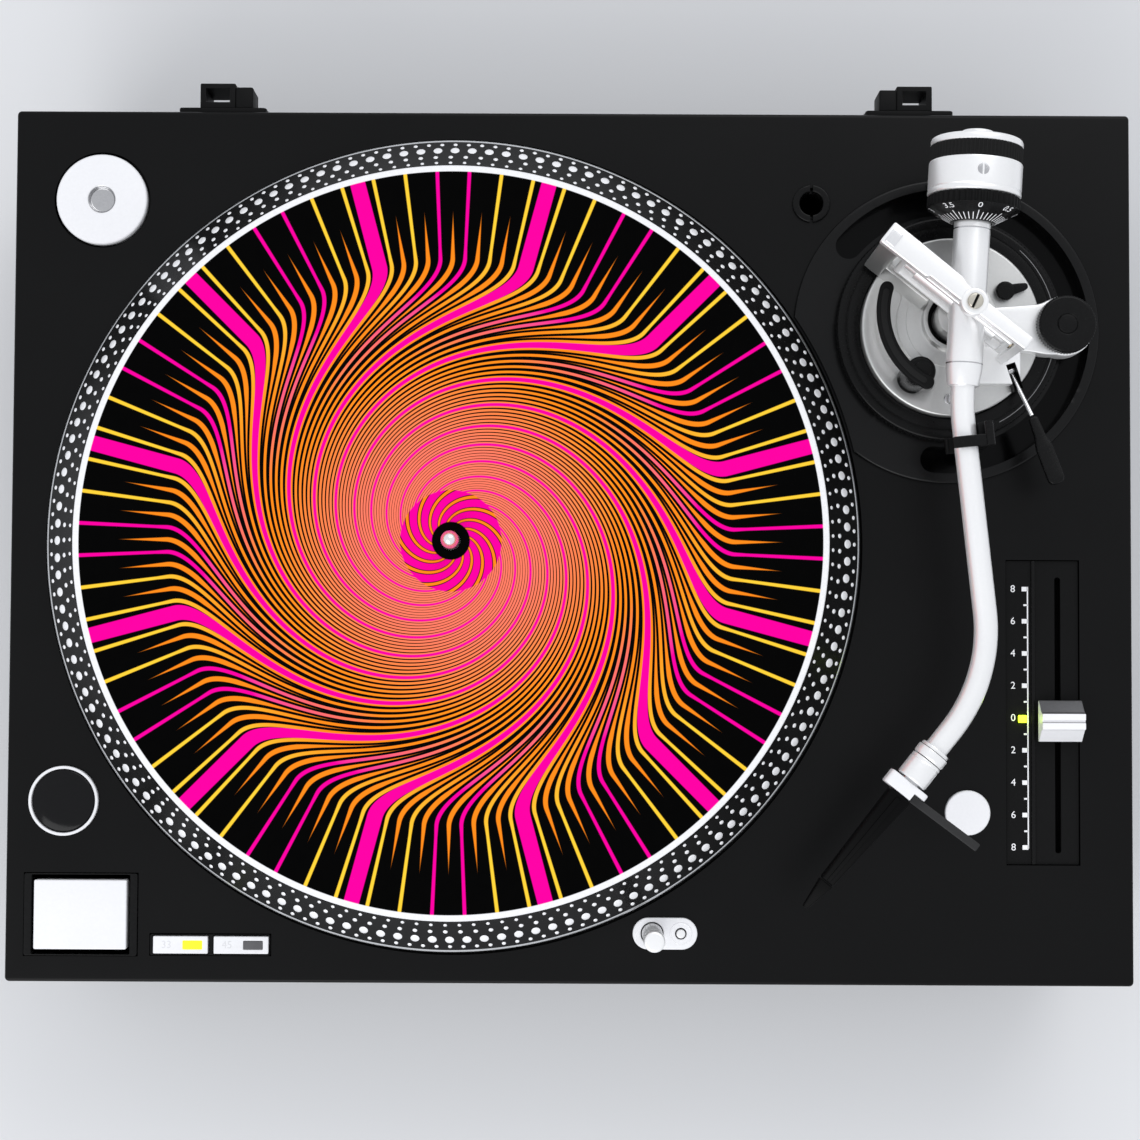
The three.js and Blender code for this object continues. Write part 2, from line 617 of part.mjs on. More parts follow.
function armBasePlate() {
  const disc = turned([
    [0, PLATE.hubBottom], [PLATE.hub, PLATE.hubBottom], [PLATE.hub, PLATE.bottom],
    [PLATE.radius, PLATE.bottom], [PLATE.radius, PLATE.top - 0.6],
    [PLATE.radius - 0.6, PLATE.top], [0, PLATE.top],
  ], ARM_BASE_AT, 32);
  const armToDial = block(162, 192, 76.6, 95.8, 9.3, RAISED);
  const dialSeat = post(12, 9.3, RAISED, ANTI_SKATE_AT, 20);
  const leverBlock = block(158.5, 178.2, 63.8, 79.3, PLATE.top - 1, RAISED);
  const hub = turned([[0, 12], [11.5, 12], [11.5, 18], [8.5, 20], [8.5, HUB_TOP], [0, HUB_TOP]], PIVOT, 18);
  const groove = slab(arcBand(26.5, 4.6, 158, 244, PIVOT), 9, 20, { arcs: 8 });
  const cylinderSeat = post(6.3, 9, 20, LIFTER_POST_AT, 14);
  const away = [CUE_ELBOW[0] - CUE_HINGE[0], CUE_ELBOW[1] - CUE_HINGE[1]];
  const turn = Math.atan2(away[1], away[0]);
  const slot = block(-2.6, 8.4, -1.9, 1.9, 11.5, 25);
  slot.rotateZ(turn);
  slot.translate(CUE_HINGE[0], CUE_HINGE[1], 0);
  return cut(join(disc, armToDial, dialSeat, leverBlock, hub), groove, cylinderSeat, slot);
}

function gimbalBridge() {
  const { left, right, bottom, top, leg, end } = BRIDGE;
  const beam = slab(outline([
    [-5, left], [4.4, left], [4.2, left + 8], [3.7, -7], [2.8, 5], [2.6, right],
    [-3, right], [-3, 5], [-4, -7], [-5, left + 8],
  ]), bottom, top, { edge: 0.7 });
  // The outline is drawn with its length along y; turn it so the length runs along the tilt axis.
  const placeFlat = (geometry) => {
    geometry.rotateZ(Math.atan2(CROSS_DIRECTION[1], CROSS_DIRECTION[0]) - Math.PI / 2);
    geometry.translate(PIVOT[0], PIVOT[1], 0);
    return geometry;
  };
  const foot = PLATE.top + GAP;
  const boss = post(5.3, bottom, top + 0.4, PIVOT, 18);
  const leftLeg = placeFlat(block(-4.9, 4.3, left + 0.4, left + leg, foot, bottom + 1));
  const rightLeg = placeFlat(block(-2.9, 2.5, right - end, right - 0.2, RAISED + GAP, bottom + 1));
  const web = placeFlat(block(1.4, 4.3, left + leg - 1, -13, foot, 33));
  const screwHole = post(2.3, bottom - 2, top + 2, PIVOT, 16);
  return cut(join(placeFlat(beam), boss, leftLeg, rightLeg, web), screwHole);
}

function bearingScrew() {
  const body = turned([
    [0, YOKE.top + GAP], [2, YOKE.top + GAP + 0.6], [2, BRIDGE.top + 0.7], [2.9, BRIDGE.top + 0.7],
    [2.9, BRIDGE.top + 1.8], [2.5, BRIDGE.top + 2.1], [0, BRIDGE.top + 2.1],
  ], PIVOT, 14);
  const slot = block(-4, 4, -0.45, 0.45, BRIDGE.top + 1.3, BRIDGE.top + 4);
  slot.rotateZ(radians(65));
  slot.translate(PIVOT[0], PIVOT[1], 0);
  return cut(body, slot);
}

function antiSkateDial() {
  return turned([
    [0, RAISED + GAP], [ANTI_SKATE_RADIUS, RAISED + GAP], [ANTI_SKATE_RADIUS, RAISED + 5.2],
    [ANTI_SKATE_RADIUS - 0.8, RAISED + 6], [3.8, RAISED + 6], [3.6, RAISED + 6.3], [0, RAISED + 6.3],
  ], ANTI_SKATE_AT, 24);
}

function lockLever() {
  const base = PLATE.top + GAP;
  const boss = post(3.8, base, base + 3.6, LOCK_AT, 20);
  const shape = outline([[0, -2.6], [9.2, -1.4], [9.2, 1.2], [0, 2.4]]);
  const blade = slab(shape, base + 0.8, base + 3.2, { edge: 0.4 });
  blade.rotateZ(radians(14));
  blade.translate(LOCK_AT[0], LOCK_AT[1], 0);
  return join(boss, blade);
}

function lifterCylinder() {
  const profile = [[2.3, 9.3], [5.8, 9.3], [5.8, 34.4], [5.2, 35], [2.3, 35], [2.3, 9.3]];
  return turned(profile, LIFTER_POST_AT, 18);
}

function lifterBar() {
  const { radius, half, from, to, bottom, top } = LIFTER;
  const bar = slab(arcBand(radius, half, from, to, PIVOT), bottom, top, { edge: 0.5, arcs: 5 });
  const lug = post(3.2, bottom, top - 1, LIFTER_POST_AT, 14);
  const stem = post(2, 16, bottom + 0.5, LIFTER_POST_AT, 14);
  return join(bar, lug, stem);
}

function cueLeverRod() {
  const [dx, dy] = [CUE_ELBOW[0] - CUE_HINGE[0], CUE_ELBOW[1] - CUE_HINGE[1]];
  const run = Math.hypot(dx, dy);
  const side = [(-dy / run) * 1.5, (dx / run) * 1.5];
  const axle = rod(
    [CUE_HINGE[0] - side[0], CUE_HINGE[1] - side[1], CUE_HINGE[2]],
    [CUE_HINGE[0] + side[0], CUE_HINGE[1] + side[1], CUE_HINGE[2]], 1.6, 14);
  return join(axle, rod(CUE_HINGE, CUE_ELBOW, 0.85, 10));
}

// Flat paddle that carries on from the lever's rod and widens towards its end.
function cueLeverGrip() {
  const start = new THREE.Vector3(...CUE_ELBOW);
  const end = new THREE.Vector3(...CUE_END);
  const along = end.clone().sub(start).normalize();
  const side = new THREE.Vector3(along.y, -along.x, 0).normalize();
  const up = new THREE.Vector3().crossVectors(along, side);
  const length = end.distanceTo(start);
  const shape = outline([
    [-1.7, 0.5], [1.7, 0.5], [2.2, 9], [3.3, 13], [3.3, length - 2.4], [1.9, length], [-1.9, length],
    [-3.3, length - 2.4], [-3.3, 13], [-2.2, 9],
  ]);
  const paddle = slab(shape, -1.5, 1.5, { edge: 0.6 });
  paddle.applyMatrix4(new THREE.Matrix4().makeBasis(side, along, up.negate()).setPosition(start));
  return paddle;
}

// ---------------------------------------------------------------- arm rest
const REST_ALONG = 13.9; // distance of the rest from the first bend, along the tube
const REST = { floor: 41.5, wall: 4.9, block: 10.8, blockTop: 51.8, clipBottom: 53.1, clipTop: 54.9 };
const CLIP_HINGE = { side: 8.4, height: 54.2, radius: 1.8 };

function atRest(geometry) {
  return lay(geometry, step(FIRST_BEND, MID, REST_ALONG), MID, 0);
}

function armRest() {
  return join(
    atRest(block(4.6, 10.9, PLATE.top + GAP, PLATE.top + 3.6, -22, 3)),
    atRest(block(5, 10.5, PLATE.top + 1, REST.floor - 1, -3, 2)),
    atRest(block(-6.6, REST.wall + 1, REST.floor - 3, REST.floor, -3, 3)),
    atRest(block(-6.6, -5.4, REST.floor - 1, REST.floor + 0.5, -3, 3)),
    atRest(block(REST.wall, REST.block, REST.floor - 3, REST.blockTop, -7, 2.2)),
  );
}

function armClip() {
  const { side, height, radius } = CLIP_HINGE;
  const barrel = new THREE.CylinderGeometry(radius, radius, 9, 14);
  barrel.rotateX(Math.PI / 2);
  barrel.translate(side, height, -2.4);
  return join(
    atRest(barrel),
    atRest(block(-5.9, side, REST.clipBottom, REST.clipTop, -2.3, 2.1)),
  );
}

// ---------------------------------------------------------------- tonearm
function alongRear(profile, segments = 28) {
  return lay(turned(profile, [0, 0], segments), PIVOT, REARWARD);
}

function alongHead(geometry) {
  return lay(geometry, SECOND_BEND, HEAD);
}

function headTurned(profile, segments = 24) {
  return alongHead(turned(profile, [0, 0], segments));
}

function crossRound(radius, from, to, segments = 14) {
  return lay(post(radius, from, to, [0, 0], segments), PIVOT, CROSS_DIRECTION);
}

// Rectangular loop that turns about the vertical axis and carries the arm's level pins.
function yawYoke() {
  const { left, right, half, bottom, top, bar, side } = YOKE;
  const [low, high] = [bottom - ARM_HEIGHT, top - ARM_HEIGHT];
  const loop = cut(block(-half, half, low, high, left, right),
    block(-half - 1, half + 1, low + bar, high - bar, left + side, right - side));
  const bossBottom = HUB_TOP + GAP;
  return cut(
    join(lay(loop, PIVOT, CROSS_DIRECTION), post(5, bossBottom, bottom + 1, PIVOT, 14)),
    crossRound(CROSS.pin + GAP, left - 2, left + side + 1, 14),
    crossRound(CROSS.pin + GAP, right - side - 1, right + 2, 14),
  );
}

function armHousing() {
  const { radius, rear, front, nose, shaft, shaftEnd } = HOUSING;
  const barrel = alongRear([
    [0, -nose], [TUBE_RADIUS + 1.4, -nose], [radius, -front], [radius, rear],
    [shaft, rear], [shaft, shaftEnd], [0, shaftEnd],
  ], 16);
  const tilt = join(
    crossRound(CROSS.radius, CROSS.left + 5, CROSS.right - 4),
    crossRound(CROSS.radius - 1.2, CROSS.left, CROSS.right),
    crossRound(CROSS.pin, YOKE.left + GAP, YOKE.right - GAP, 14),
  );
  const bore = TUBE_RADIUS + GAP;
  const tubeBore = alongRear([[0, -nose - 1], [bore, -nose - 1], [bore, -front], [0, -front]], 20);
  return cut(join(barrel, tilt), tubeBore);
}

function armTube() {
  const section = new THREE.Shape();
  section.absarc(0, 0, TUBE_RADIUS, 0, 2 * Math.PI, false);
  const path = new VisitPath(tubeCentreLine());
  const tube = new THREE.ExtrudeGeometry(section, {
    steps: path.points.length - 1,
    extrudePath: path,
    curveSegments: 5,
    bevelEnabled: false,
  });
  const { start, shoulder, end } = COLLAR;
  const collar = headTurned([
    [0, start], [5.5, start], [5.5, shoulder], [5.95, shoulder], [5.95, end], [0, end],
  ], 18);
  return join(tube, collar);
}

function headshellNut() {
  const start = COLLAR.end + GAP;
  return headTurned([[4.1, start], [5.9, start], [5.9, start + 9.7], [4.1, start + 9.7], [4.1, start]], 18);
}

const FLANGE = { start: 50.8, end: 56.5, half: 8.5 };

function pickupCollar() {
  const [start, end] = [COLLAR.end + 0.6, FLANGE.start + 1];
  const plug = headTurned([[0, start], [3.8, start], [3.8, end], [0, end]], 16);
  const bar = slab(roundedRectangle(2 * FLANGE.half, 9, 2), FLANGE.start, FLANGE.end, { edge: 0.5, arcs: 3 });
  const notch = block(3.6, 6.9, -1.6, 5, FLANGE.end - 3.2, FLANGE.end + 1);
  return join(plug, cut(alongHead(bar), alongHead(notch)));
}

function fingerLift() {
  const shape = outline([[8.8, 53.4], [34.2, 52.4], [35.6, 53.2], [35.7, 54.8], [34.4, 55.8], [8.8, 56.6]]);
  const blade = slab(shape, -0.8, 0.7, { edge: 0.3 });
  blade.rotateX(Math.PI / 2);
  blade.scale(1, -1, 1);
  return alongHead(blade);
}

const BODY_SPLIT = 100.2;
const TIP_END = 113.2;

function pickupBody() {
  return alongHead(taper([-4.7, 4.7, -4.4, 4.2, FLANGE.end + GAP], [-2.9, 2.9, -11.2, -5, BODY_SPLIT]));
}

// Push-on stylus shell with the thin cantilever that reaches down to the record.
function stylusUnit() {
  const shell = taper([-2.9, 2.9, -11.4, -5.3, BODY_SPLIT + GAP], [-1.1, 1.1, -12, -9.6, TIP_END]);
  const cantilever = taper([-0.4, 0.4, -12.2, -11.4, 103], [-0.25, 0.25, -14.4, -13.7, 110]);
  return alongHead(join(shell, cantilever));
}

// The weight, its rubbed grip band and the boss at its rear.
function counterweight() {
  const { radius, front, groove, disc, rear, boss } = WEIGHT;
  const deep = rear + 1.4;
  const bore = HOUSING.shaft + GAP;
  return alongRear([
    [DIAL.bore, front], [radius - 0.5, front], [radius, front + 0.5], [radius, groove - 0.5],
    [radius - 0.5, groove], [radius - 0.5, groove + 0.4], [radius - 0.3, groove + 0.6],
    [radius - 0.3, disc - 0.6], [radius - 0.5, disc - 0.4],
    [radius - 0.5, rear - 0.8], [radius - 1.3, rear],
    [6.6, rear], [6.6, boss - 0.6], [6, boss], [0, boss], [0, deep], [bore, deep], [bore, 48.5],
    [DIAL.bore, 48.5], [DIAL.bore, front],
  ], 20);
}

function forceDial() {
  const { radius, face, knurl, rear, bore } = DIAL;
  return alongRear([[bore, face], [radius, knurl], [radius, rear], [bore, rear], [bore, face]], 20);
}

// ---------------------------------------------------------------- finishes
const FINISH = {
  blackPaint: { color: 0x1b1b1c, roughness: 0.55, metalness: 0.1 },
  blackPlastic: { color: 0x161617, roughness: 0.5, metalness: 0 },
  whitePlastic: { color: 0xf0f0f2, roughness: 0.35, metalness: 0 },
  rubber: { color: 0x141414, roughness: 0.9, metalness: 0 },
  castAluminium: { color: 0xc9cbcd, roughness: 0.35, metalness: 0.9 },
  satinSilver: { color: 0xd8d9da, roughness: 0.3, metalness: 0.9 },
  steel: { color: 0xb9bbbd, roughness: 0.25, metalness: 1 },
  magnet: { color: 0x3a3a3c, roughness: 0.7, metalness: 0.3 },
  board: { color: 0x1f5a33, roughness: 0.6, metalness: 0 },
  copper: { color: 0xb06a3a, roughness: 0.4, metalness: 0.8 },
  brass: { color: 0xb9975a, roughness: 0.35, metalness: 1 },
  felt: { color: 0xe0237f, roughness: 0.95, metalness: 0 },
  lamp: { color: 0xd8e600, roughness: 0.3, metalness: 0 },
  darkLamp: { color: 0x6c6d70, roughness: 0.3, metalness: 0 },
};

const [SPEED_33_X, SPEED_45_X] = SPEED_BUTTON_X;
const [FOOT_FL, FOOT_FR, FOOT_RL, FOOT_RR] = footPlaces();

const PIECES = [
  ['plinth_top', plinthTop(), 'blackPaint'],
  ['rubber_base', rubberBase(), 'rubber'],
  ['foot_front_left', foot(FOOT_FL), 'rubber'],
  ['foot_front_right', foot(FOOT_FR), 'rubber'],
  ['foot_rear_left', foot(FOOT_RL), 'rubber'],
  ['foot_rear_right', foot(FOOT_RR), 'rubber'],
  ['hinge_bracket_left', hingeBracket(HINGE_X[0], 1), 'blackPlastic'],
  ['hinge_bracket_right', hingeBracket(HINGE_X[1], -1), 'blackPlastic'],
  ['transformer', transformer(), 'magnet'],
  ['main_board', mainBoard(), 'board'],
  ['terminal_panel', terminalPanel(), 'brass'],
  ['stator_board', statorBoard(), 'board'],
  ['stator_coils', statorCoils(), 'copper'],
  ['bearing_housing', bearingHousing(), 'brass'],
  ['platter', platter(), 'castAluminium'],
  ['rotor_magnet', rotorMagnet(), 'magnet'],
  ['spindle', spindle(), 'steel'],
  ['slipmat', slipmat(), 'felt'],
  ['adapter_45', adapter(), 'whitePlastic'],
  ['power_ring', powerRing(), 'whitePlastic'],
  ['power_button', powerButton(), 'blackPlastic'],
  ['start_frame', startFrame(), 'blackPlastic'],
  ['start_button', startButton(), 'whitePlastic'],
  ['speed_frame', speedFrame(), 'blackPlastic'],
  ['speed_button_33', speedButton(SPEED_33_X), 'whitePlastic'],
  ['speed_lamp_33', speedLamp(SPEED_33_X), 'lamp'],
  ['speed_button_45', speedButton(SPEED_45_X), 'whitePlastic'],
  ['speed_lamp_45', speedLamp(SPEED_45_X), 'darkLamp'],
  ['target_light_plate', targetPlate(), 'whitePlastic'],
  ['target_light_post', targetPost(), 'satinSilver'],
  ['target_light_button', post(1.8, -5, 2.2, TARGET_BUTTON_AT, 16), 'satinSilver'],
  ['reset_button', resetButton(), 'whitePlastic'],
  ['pitch_panel', pitchPanel(), 'blackPlastic'],
  ['pitch_lamp', pitchLamp(), 'lamp'],
  ['fader_track', faderTrack(), 'steel'],
  ['fader_knob', faderKnob(), 'satinSilver'],
  ['headshell_holder', headshellHolder(), 'blackPlastic'],
  ['arm_base_housing', armBaseHousing(), 'blackPaint'],
  ['height_ring', heightRing(), 'blackPlastic'],
  ['arm_base_plate', armBasePlate(), 'satinSilver'],
  ['gimbal_bridge', gimbalBridge(), 'satinSilver'],
  ['bearing_screw', bearingScrew(), 'brass'],
  ['anti_skate_dial', antiSkateDial(), 'blackPlastic'],
  ['lock_lever', lockLever(), 'blackPlastic'],
  ['lifter_cylinder', lifterCylinder(), 'blackPlastic'],
  ['lifter_bar', lifterBar(), 'blackPlastic'],
  ['cue_lever_rod', cueLeverRod(), 'steel'],
  ['cue_lever_grip', cueLeverGrip(), 'blackPlastic'],
  ['arm_rest', armRest(), 'blackPlastic'],
  ['arm_clip', armClip(), 'blackPlastic'],
  ['yaw_yoke', yawYoke(), 'satinSilver'],
  ['arm_housing', armHousing(), 'satinSilver'],
  ['arm_tube', armTube(), 'satinSilver'],
  ['headshell_nut', headshellNut(), 'satinSilver'],
  ['pickup_collar', pickupCollar(), 'whitePlastic'],
  ['finger_lift', fingerLift(), 'blackPlastic'],
  ['pickup_body', pickupBody(), 'blackPlastic'],
  ['stylus_unit', stylusUnit(), 'blackPlastic'],
  ['counterweight', counterweight(), 'satinSilver'],
  ['force_dial', forceDial(), 'blackPlastic'],
];

const turntable = new THREE.Group();
for (const [name, shape, finish] of PIECES) {
  const geometry = clean(shape);
  geometry.translate(0, CENTRE_SHIFT_Y, PLINTH_TOP);
  const faceted = geometry.toNonIndexed();
  faceted.computeVertexNormals();
  const piece = new THREE.Mesh(faceted, new THREE.MeshStandardMaterial(FINISH[finish]));
  piece.name = name;
  turntable.add(piece);
}

export default turntable;
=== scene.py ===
import math

import bmesh
import bpy
from mathutils import Matrix, Vector


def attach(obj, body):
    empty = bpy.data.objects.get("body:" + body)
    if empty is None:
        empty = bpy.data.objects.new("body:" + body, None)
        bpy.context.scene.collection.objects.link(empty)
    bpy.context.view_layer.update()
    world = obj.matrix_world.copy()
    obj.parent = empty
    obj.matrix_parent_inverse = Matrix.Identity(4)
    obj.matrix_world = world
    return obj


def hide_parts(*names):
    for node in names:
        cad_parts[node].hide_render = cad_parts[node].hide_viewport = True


MM = 0.001
LIFT = Vector((0.0, -6.4, 100.0))  # plinth-top frame to the part's own frame
TO_METRES = Matrix.Scale(MM, 4) @ Matrix.Translation(LIFT)

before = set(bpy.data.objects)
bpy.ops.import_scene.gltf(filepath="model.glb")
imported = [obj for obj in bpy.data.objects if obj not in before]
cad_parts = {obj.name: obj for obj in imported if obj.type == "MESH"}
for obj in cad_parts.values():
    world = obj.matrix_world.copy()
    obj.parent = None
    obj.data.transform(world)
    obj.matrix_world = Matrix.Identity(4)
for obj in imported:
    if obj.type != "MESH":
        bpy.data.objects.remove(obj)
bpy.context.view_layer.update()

PLATTER = (-47.25, 0.15)
ARM_BASE = (151.6, 87.4)
PIVOT = (151.9, 89.4)
ADAPTER = (-191.3, 139.7)
POWER = (-203.6, -103.9)
START = (-196.15, -149.3)
SPEED_Y = -161.2
SPEED_X = (-155.8, -131.5)
TARGET_PLATE = (38.35, -155.8)
TARGET_POST = (33.2, -155.8)
TARGET_BUTTON = (44.7, -155.8)
RESET = (159.8, -107.0)
HOLDER = (97.0, 139.4)
ANTI_SKATE = (195.6, 87.1)
LOCK = (172.7, 101.5)
LIFTER_POST = (136.2, 66.8)
CUE_HINGE = Vector((174.9, 69.5, 14.6))
CUE_ELBOW = Vector((181.5, 50.5, 24.0))
CUE_END = Vector((190.8, 23.5, 27.5))
HINGE_X = (-143.5, 137.7)
FEET = {"front_left": (-185, -133), "front_right": (185, -133), "rear_left": (-185, 133),
        "rear_right": (185, 133)}
ARM_Z = 48.0
TUBE_R = 4.55
PLINTH = (453, 352.5)
PLINTH_DEPTH = 48
BASE_BOTTOM = -70
MAT_BORE, MAT_RADIUS, MAT_UNDER, MAT_TOP = 3.9, 148.9, 23.5, 25.1
SCALE_ZERO, SCALE_STEP = -68.9, 6.5  # the pitch scale, along y
FADER_Y = -70.0
CAMERA_AT, CAMERA_TURN, CAMERA_LENS = (0.00046, -0.0541, 1.0), (0.04177, 0.00095, 0.00469), 70.42


def heading(degrees):
    a = math.radians(degrees)
    return Vector((-math.sin(a), -math.cos(a)))


REAR, MID, HEAD = heading(3.5), heading(-6.3), heading(38.5)
CROSS = Vector((-HEAD.y, HEAD.x))
FIRST_BEND = Vector(PIVOT) + REAR * 38.3
SECOND_BEND = FIRST_BEND + MID * 104.4
REST = FIRST_BEND + MID * 13.9


def axes(x, y, z, origin):
    """Frame from three directions and an origin."""
    m = Matrix((x, y, z)).transposed().to_4x4()
    m.translation = origin
    return m


def lay(at, along, z=ARM_Z):
    """Frame for a piece built along its own z: x becomes the side, y stays up."""
    return axes((-along.y, along.x, 0), (0, 0, 1), (along.x, along.y, 0), (at[0], at[1], z))


def standing(at, degrees):
    """Frame on the plinth's top, turned about the vertical."""
    return Matrix.Translation((at[0], at[1], 0)) @ Matrix.Rotation(math.radians(degrees), 4, "Z")


BACK_FRAME = lay(PIVOT, -REAR)
HEAD_FRAME = lay(SECOND_BEND, HEAD)
CROSS_FRAME = lay(PIVOT, CROSS)
REST_FRAME = lay(REST, MID, 0)
FLAT_CROSS = standing(PIVOT, math.degrees(math.atan2(CROSS.y, CROSS.x)) - 90)
SWAP_YZ = Matrix(((1, 0, 0, 0), (0, 0, 1, 0), (0, 1, 0, 0), (0, 0, 0, 1)))

# ---- material nodes


class Wire:
    """A float socket that can be added, multiplied and so on to build a chain of math nodes."""

    def __init__(self, nt, socket):
        self.nt, self.socket = nt, socket

    def op(self, kind, *others, clamp=False):
        node = self.nt.nodes.new("ShaderNodeMath")
        node.operation, node.use_clamp = kind, clamp
        for i, value in enumerate((self, *others)):
            if isinstance(value, Wire):
                self.nt.links.new(value.socket, node.inputs[i])
            else:
                node.inputs[i].default_value = value
        return Wire(self.nt, node.outputs[0])

    def __add__(self, o): return self.op("ADD", o)
    def __sub__(self, o): return self.op("SUBTRACT", o)
    def __mul__(self, o): return self.op("MULTIPLY", o)
    def __truediv__(self, o): return self.op("DIVIDE", o)
    def __rsub__(self, o): return (self * -1.0) + o
    def abs(self): return self.op("ABSOLUTE")
    def fract(self): return self.op("FRACT")
    def max(self, o): return self.op("MAXIMUM", o)
    def min(self, o): return self.op("MINIMUM", o)
    def power(self, o): return self.op("POWER", o)
    def sine(self): return self.op("SINE")
    def clamp01(self): return self.op("ADD", 0.0, clamp=True)
    def below(self, limit, soft=0.15):
        """1 where this is under the limit, 0 over it, with a soft edge."""
        gap = (limit - self) if isinstance(limit, Wire) else (self * -1.0 + limit)
        return (gap / soft + 0.5).clamp01()
    def above(self, limit, soft=0.15):
        return 1.0 - self.below(limit, soft)


def new_material(name):
    mat = bpy.data.materials.new(name)
    mat.use_nodes = True
    nt = mat.node_tree
    bsdf = nt.nodes["Principled BSDF"]
    coords = nt.nodes.new("ShaderNodeTexCoord").outputs["Object"]
    return mat, nt, bsdf, coords


def noise(nt, coords, scale, detail=3.0, stretch=None):
    if stretch:
        m = nt.nodes.new("ShaderNodeMapping")
        m.inputs["Scale"].default_value = stretch
        nt.links.new(coords, m.inputs["Vector"])
        coords = m.outputs[0]
    n = nt.nodes.new("ShaderNodeTexNoise")
    n.inputs["Scale"].default_value = scale
    n.inputs["Detail"].default_value = detail
    nt.links.new(coords, n.inputs["Vector"])
    return Wire(nt, n.outputs[0])


def mix(nt, factor, a, b):
    n = nt.nodes.new("ShaderNodeMix")
    n.data_type = "RGBA"
    n.clamp_factor = True
    nt.links.new(factor.socket, n.inputs[0])
    for socket, value in ((n.inputs[6], a), (n.inputs[7], b)):
        if isinstance(value, bpy.types.NodeSocket):
            nt.links.new(value, socket)
        else:
            socket.default_value = (*value[:3], 1)
    return n.outputs[2]


def bump(nt, bsdf, height, strength, depth):
    """Relief on a surface; its depth is in millionths of a metre."""
    n = nt.nodes.new("ShaderNodeBump")
    n.inputs["Strength"].default_value = strength
    n.inputs["Distance"].default_value = depth * 1e-6
    nt.links.new(height.socket, n.inputs["Height"])
    nt.links.new(n.outputs[0], bsdf.inputs["Normal"])


def surface(name, dark, light, rough, metal=0.0, grain=900.0, depth=10, patches=14.0, spec=0.5, coat=0.0,
            stretch=None, rough_spread=0.1):
    """Two close tones in slow patches, a fine grain in the relief, and roughness that wanders a little."""
    mat, nt, bsdf, coords = new_material(name)
    slow = noise(nt, coords, patches, 4.0)
    fine = noise(nt, coords, grain, 2.0, stretch)
    tone = (slow * 0.7 + fine * 0.3 - 0.3) * 2.2
    nt.links.new(mix(nt, tone.clamp01(), dark, light), bsdf.inputs["Base Color"])
    rough_out = (fine * 0.5 + slow * 0.5 - 0.5) * (2 * rough_spread) + rough
    nt.links.new(rough_out.clamp01().socket, bsdf.inputs["Roughness"])
    for socket, value in (("Metallic", metal), ("Specular IOR Level", spec), ("Coat Weight", coat),
                          ("Coat Roughness", 0.12)):
        bsdf.inputs[socket].default_value = value
    if depth:
        bump(nt, bsdf, fine, 0.6, depth)
    return mat


def polar(nt, coords, centre):
    """(radius in mm, angle in radians) about a vertical axis of the plinth-top frame."""
    split = nt.nodes.new("ShaderNodeSeparateXYZ")
    nt.links.new(coords, split.inputs[0])
    x = Wire(nt, split.outputs[0]) * 1000.0 - centre[0]
    y = Wire(nt, split.outputs[1]) * 1000.0 - (centre[1] + LIFT.y)
    return (x * x + y * y).power(0.5), y.op("ARCTAN2", x)


def turned_metal(name, centre, tone, rough=0.28, pitch=1.6):
    """Lathe-turned metal: fine rings round a vertical axis."""
    mat, nt, bsdf, coords = new_material(name)
    r, _ = polar(nt, coords, centre)
    rings = (r * pitch * 2 * math.pi).sine() * 0.5 + 0.5
    slow = noise(nt, coords, 22.0, 3.0)
    fine = noise(nt, coords, 700.0, 2.0)
    shade = (rings * 0.25 + slow * 0.5 + fine * 0.25).clamp01()
    nt.links.new(mix(nt, shade, [c * 0.86 for c in tone], tone), bsdf.inputs["Base Color"])
    nt.links.new((shade * 0.16 + (rough - 0.08)).socket, bsdf.inputs["Roughness"])
    bsdf.inputs["Metallic"].default_value = 1.0
    bump(nt, bsdf, rings * 0.7 + fine * 0.3, 0.35, 20)
    return mat


def glowing(name, colour, strength, rough=0.3):
    mat, nt, bsdf, coords = new_material(name)
    grain = noise(nt, coords, 500.0, 2.0)
    tint = mix(nt, grain, [c * 0.82 for c in colour], colour)
    nt.links.new(tint, bsdf.inputs["Base Color"])
    nt.links.new(tint, bsdf.inputs["Emission Color"])
    bsdf.inputs["Emission Strength"].default_value = strength
    nt.links.new((grain * 0.2 + rough).socket, bsdf.inputs["Roughness"])
    return mat


PINK, YELLOW, ORANGE, SALMON = (0.95, 0.0, 0.33), (1.0, 0.62, 0.04), (1.0, 0.25, 0.01), (1.0, 0.2, 0.12)
INK = (0.0008, 0.0008, 0.0008)
PRINT_RADIUS = 146.4
SECTORS = 12
RAYS = 6                    # thin rays in each sector
SPIRAL_RADIUS = 112.0       # inside this the rays wind up
HUB_RADIUS = 20.0
WINDING = 6.2               # radians that a ray turns through on its way to the middle


